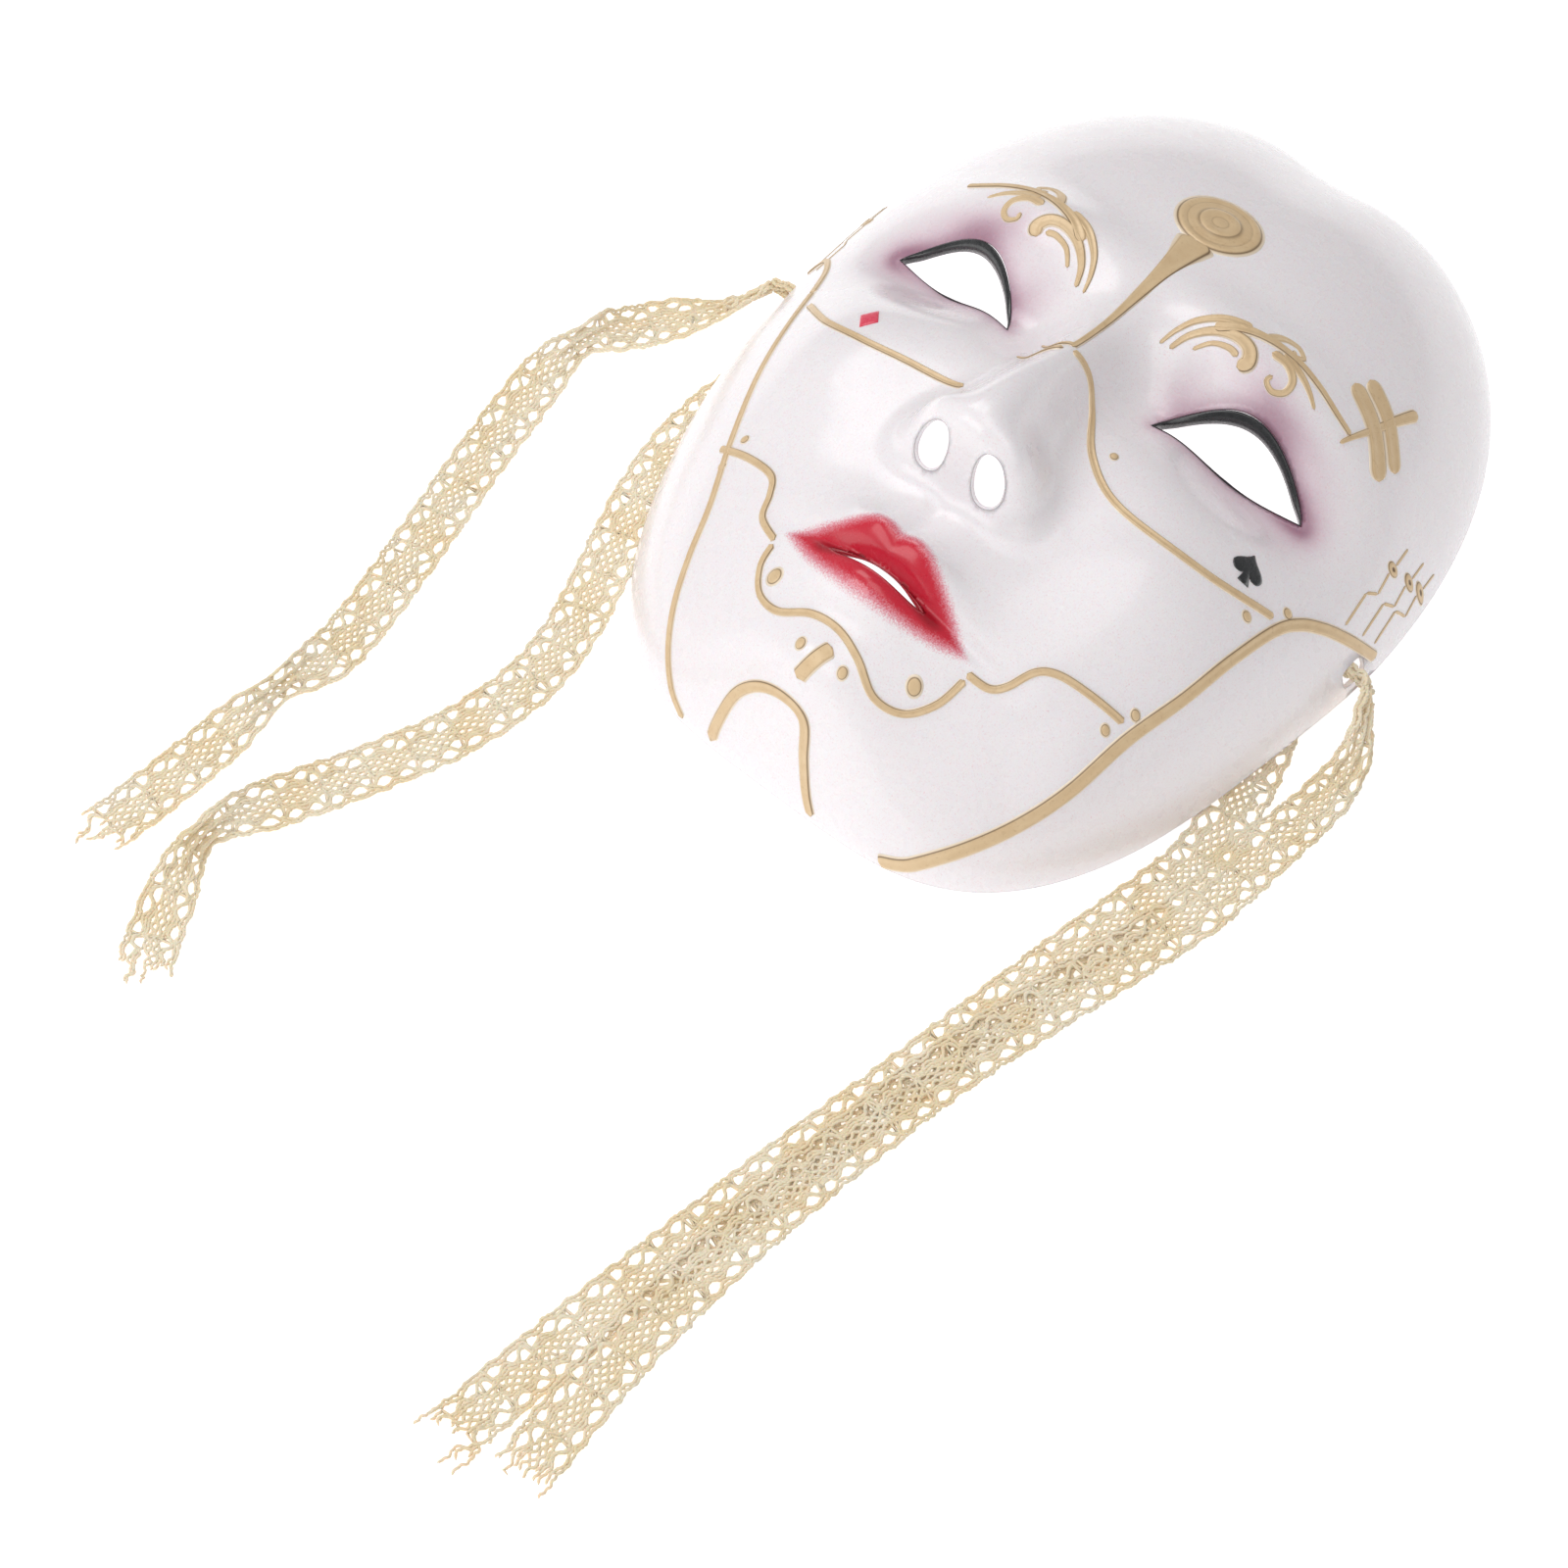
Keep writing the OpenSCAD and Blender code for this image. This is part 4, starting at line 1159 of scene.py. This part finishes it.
RIGHT_INNER = [
    (0.080, -0.005, 0.008, 70, 0.4), (0.079, -0.012, 0.005, 40, 0.5),
    (0.079, -0.024, 0.0014, 8, 0.8), (0.081, -0.036, 0.0007, 0, 1),
    (0.084, -0.050, 0.0007, 0, 1), (0.085, -0.065, 0.0007, 0, 1),
    (0.082, -0.082, 0.0007, 0, 1), (0.078, -0.100, 0.0007, 0, 1),
    (0.073, -0.126, 0.0007, 0, 1), (0.068, -0.152, 0.0007, 0, 1),
    (0.062, -0.180, 0.0007, 0, 1), (0.057, -0.208, 0.0007, 0, 1),
    (0.052, -0.236, 0.0007, 0, 1), (0.049, -0.255, 0.0007, 0, 1),
    (0.047, -0.272, 0.0007, 0, 1),
]
LEFT_OUTER = [
    (-0.090, -0.005, 0.008, -70, 0.4), (-0.093, -0.010, 0.006, -50, 0.45),
    (-0.098, -0.016, 0.003, -20, 0.6), (-0.105, -0.024, 0.0012, 0, 0.9),
    (-0.112, -0.035, 0.0010, 10, 0.9), (-0.117, -0.046, 0.0034, 60, 0.6),
    (-0.118, -0.060, 0.0016, 15, 0.9), (-0.115, -0.083, 0.0008, 0, 1),
    (-0.110, -0.108, 0.0008, 0, 1), (-0.105, -0.134, 0.0008, 0, 1),
    (-0.103, -0.152, 0.0016, 15, 0.9), (-0.105, -0.166, 0.0034, 60, 0.6),
    (-0.107, -0.183, 0.0012, 10, 0.9), (-0.109, -0.201, 0.0008, 0, 1),
    (-0.111, -0.218, 0.0008, 0, 1),
]
LEFT_INNER = [
    (-0.080, -0.005, 0.008, -70, 0.4), (-0.079, -0.012, 0.005, -40, 0.5),
    (-0.079, -0.024, 0.0014, -8, 0.8), (-0.080, -0.038, 0.0007, 0, 1),
    (-0.080, -0.054, 0.0007, 0, 1), (-0.077, -0.070, 0.0007, 0, 1),
    (-0.071, -0.089, 0.0007, 0, 1), (-0.065, -0.108, 0.0007, 0, 1),
    (-0.063, -0.126, 0.0007, 0, 1), (-0.067, -0.147, 0.0007, 0, 1),
    (-0.076, -0.168, 0.0007, 0, 1), (-0.086, -0.189, 0.0016, 15, 0.9),
    (-0.091, -0.204, 0.0034, 60, 0.6), (-0.087, -0.220, 0.0012, 10, 0.9),
    (-0.079, -0.237, 0.0008, 0, 1),
]
# The short gathered length that joins two tails through a slot, for the +X side.
SLOT_PASS = [
    (0.090, -0.005, 0.008, 110, 0.4), (0.0875, -0.0042, 0.0082, 100, 0.34),
    (0.085, -0.004, 0.0081, 90, 0.3), (0.0825, -0.0042, 0.0082, 80, 0.34),
    (0.080, -0.005, 0.008, 70, 0.4),
]


def lace_strands(u, rng):
    """Threads of the lace: each is its place across and its height, over u.

    The threads run in twisted pairs, one pair to a lane. In the close part of each repeat
    they change lanes, and everywhere the holes push them apart.
    """
    def drift(size, length):
        waves = sum(
            math.sqrt(1 / k) * np.sin(2 * math.pi * (u * k / length + rng.random()))
            for k in (1, 2, 3)
        )
        return size * waves / 2

    v = u + drift(*REPEAT_DRIFT) + rng.uniform(0, REPEAT)
    holes = [
        (across + drift(*HOLE_DRIFT), along, wide * (1 + drift(*HOLE_SIZE_DRIFT)), long)
        for across, along, wide, long in LARGE_HOLES + SMALL_HOLES + BORDER_HOLES
    ]
    edge = (LANES // 2) * LANE_W
    turn = np.abs((v / REPEAT + CHANGE_SHIFT) % 2 - 1)
    change = smooth((turn - 0.5) * CHANGE_RATE + 0.5)
    strands = []
    for lane in range(LANES):
        middle = (lane - LANES // 2) * LANE_W
        twist = math.pi * u / HALF_TURN + drift(*TWIST_DRIFT) + rng.uniform(0, 6)
        for sign in (1, -1):
            place = np.clip(middle + sign * LANE_W * change, -edge, edge)
            push = np.zeros(len(u))
            for across, along, wide, long in holes:
                t = ((v - along + REPEAT / 2) % REPEAT - REPEAT / 2) / long
                half = wide * np.maximum(0, 1 - t * t) ** HOLE_POWER
                off = place - across
                push += np.sign(off) * (np.sqrt(off ** 2 + half ** 2) - np.abs(off))
            across = place + push + sign * PAIR_HALF_W * np.sin(twist) + drift(*THREAD_DRIFT)
            strands.append((across, sign * PAIR_HALF_H * np.cos(twist)))
    return strands


def ribbon_frame(route, pitch):
    """Points of a route in millimetres with the ribbon's side and up directions there."""
    knots = np.array(route) * [1 / MM, 1 / MM, 1 / MM, 1, 1]
    line = even(curve(knots, ROUTE_STEPS), pitch)
    at, roll, share = line[:, :3], np.radians(line[:, 3]), line[:, 4]
    run = unit(np.gradient(at, axis=0))
    flat = unit(np.cross(run, [0, 0, 1]))
    over = np.cross(flat, run)
    side = flat * np.cos(roll)[:, None] + over * np.sin(roll)[:, None]
    up = np.cross(side, run)
    low = np.abs(side[:, 2]) * RIBBON_W * share / 2 + 2 * THREAD_R + FLOOR_GAP
    at = at + np.column_stack((np.zeros((len(at), 2)), np.maximum(0, low - at[:, 2])))
    return at, run, side, up, share


def thread_tube(path, phase):
    """Points, faces and paint of one thread, twisted as it runs."""
    run = unit(np.gradient(path, axis=0))
    flat = unit(np.cross(run, [0.1, 0.2, 1]))
    over = np.cross(flat, run)
    a = around(THREAD_SIDES)
    ring = (
        flat[:, None] * np.cos(a)[None, :, None] + over[:, None] * np.sin(a)[None, :, None]
    )
    taper = np.ones(len(path))
    taper[0] = taper[-1] = 0.3
    points = path[:, None] + ring * (THREAD_R * taper)[:, None, None]
    # Low values mark the grooves of the twist round each thread, which the lace material darkens as
    # painted shade.
    twist = 0.5 + 0.5 * np.sin(2 * a[None] + 1.5 * np.arange(len(path))[:, None] + phase)
    faces = split_quads(tube_quads(len(path), THREAD_SIDES)[:, ::-1])
    return points.reshape(-1, 3), faces, twist.ravel()


def build_ribbon(name, route, seed, material, replaces=(), frayed=True):
    """A lace ribbon along its route, gathered where its share is low, frayed at its end."""
    rng = np.random.default_rng(seed)
    at, run, side, up, share = ribbon_frame(route, THREAD_PITCH)
    length = along(at)[-1]
    spare = FRAY_STEPS if frayed else 0
    # The route goes straight on past its end, for the loose threads.
    step = at[-1] - at[-2]
    extra = np.arange(1, spare + 1)[:, None]
    floor_z = FLOOR_GAP + 2 * THREAD_R
    tail = at[-1] + step * extra
    tail[:, 2] = np.maximum(tail[:, 2], floor_z)
    at = np.vstack((at, tail))
    side, up = (np.vstack((v, np.repeat(v[-1:], spare, axis=0))) for v in (side, up))
    share = np.concatenate((share, np.repeat(share[-1:], spare)))
    u = np.arange(len(at)) * THREAD_PITCH
    points, faces, colours, count = [], [], [], 0
    strands = lace_strands(u, rng)
    loose = set(rng.choice(len(strands), LOOSE_THREADS, replace=False)) if frayed else set()
    for k, (across, high) in enumerate(strands):
        last = len(u)
        if frayed:
            reach_out = rng.uniform(*(LOOSE_REACH if k in loose else CUT_REACH))
            last = min(int((length + reach_out) / THREAD_PITCH), len(u))
        past = np.clip((u - length + FRAY_START) / FRAY_LENGTH, 0, FRAY_LIMIT)
        free = past ** 2 if frayed else 0 * u
        across = across + free * rng.normal(0, FRAY_SPREAD)
        fold = (1 - share) * FOLD_H * np.sin(FOLD_ACROSS * across + FOLD_ALONG * u)
        height = high + fold
        path = at + side * (across * share)[:, None] + up * height[:, None]
        path[:, 2] = np.maximum(path[:, 2], THREAD_R + FLOOR_GAP / 2)
        path = path[:last]
        if len(path) < 4:
            continue
        p, f, twist = thread_tube(path, k)
        # Painted shade: threads that lie low in the lace are drawn darker.
        deep = np.clip((0.25 - np.repeat(high[:last], THREAD_SIDES)) * 1.6, 0, 1)
        points.append(p)
        faces.append(f + count)
        colours.append(np.column_stack((twist, deep, np.zeros(len(p)), np.ones(len(p)))))
        count += len(p)
    return add_mesh(name, np.vstack(points), np.vstack(faces), material,
                    replaces, np.vstack(colours))


def build_ribbons(material):
    for end, seed, outer, inner, cad in (
        (1, 11, RIGHT_OUTER, RIGHT_INNER, "right"),
        (-1, 23, LEFT_OUTER, LEFT_INNER, "left"),
    ):
        through = [(end * x, y, z, end * (roll - 90) + 90, share)
                   for x, y, z, roll, share in SLOT_PASS]
        joint = build_ribbon("lace_" + cad + "_slot_pass", through, seed, material,
                             frayed=False)
        for tail, route, step in (("outer", outer, 1), ("inner", inner, 2)):
            node = "ribbon_" + cad + "_" + tail
            piece = build_ribbon("lace_" + cad + "_" + tail, route, seed + step, material,
                                 [node])


# --- Stage ---


# Name, place, size and power of each soft light, and where they all point.
SOFTBOXES = [
    ("key_softbox", (-0.7, 0.2, 1.2), (0.8, 0.8), 6),
    ("overhead_softbox", (0.2, -0.5, 1.5), (1.2, 1.2), 7.5),
    ("fill_softbox", (1.1, -0.8, 0.7), (0.6, 0.8), 1.5),
    ("chin_softbox", (-0.4, -1.0, 0.5), (0.8, 0.5), 3),
]
LIGHTS_AIM = (0, -0.06, 0.03)
FLOOR_HALF = 3
FLOOR_GLOW = 0.55
SKY_GLOW = 0.3


def add_area_light(name, place, size, power):
    light = bpy.data.lights.new(name, "AREA")
    light.shape = "RECTANGLE"
    light.size, light.size_y = size
    light.energy = power
    lamp = bpy.data.objects.new(name, light)
    bpy.context.scene.collection.objects.link(lamp)
    lamp.location = place
    aim = Vector(LIGHTS_AIM) - Vector(place)
    lamp.rotation_euler = aim.to_track_quat("-Z", "Y").to_euler()


def add_stage():
    """A plain white floor that glows a little, as a lit product table does."""
    mesh = bpy.data.meshes.new("floor")
    corners = [(FLOOR_HALF * x, FLOOR_HALF * y, 0) for x, y in ((-1, -1), (1, -1), (1, 1), (-1, 1))]
    mesh.from_pydata(corners, [], [(0, 1, 2, 3)])
    floor = bpy.data.objects.new("floor", mesh)
    bpy.context.scene.collection.objects.link(floor)
    white = Shader("floor_white", Base_Color=(0.9, 0.9, 0.9, 1), Roughness=0.9,
                   Specular_IOR_Level=0.1, Emission_Color=(1, 1, 1, 1),
                   Emission_Strength=FLOOR_GLOW)
    mesh.materials.append(white.material)

    world = bpy.data.worlds.new("studio")
    world.use_nodes = True
    sky = world.node_tree.nodes["Background"].inputs
    sky["Color"].default_value = (1, 1, 1, 1)
    sky["Strength"].default_value = SKY_GLOW
    bpy.context.scene.world = world
    for softbox in SOFTBOXES:
        add_area_light(*softbox)
    bpy.context.scene.view_settings.view_transform = "Standard"


# --- The model ---

add_camera()
build_ribbons(lace_material())
black = mark_material("black_paint", ("17181A", "2E3032"), 0.0015, (0.6, 0.08), 0.2,
                      (0.0008, 0.00008, 0.7))
coral = mark_material("red_paint", ("DF2F4E", "EC5A70"), 0.0008, (0.4, 0.1), 0.25,
                      (0.0006, 0.00005, 0.6))
build_shell(shell_material())
for eye_side in (1, -1):
    build_eye_lining(eye_side, black)
build_gilding(gilt_material())
build_marks(black, coral)
add_stage()
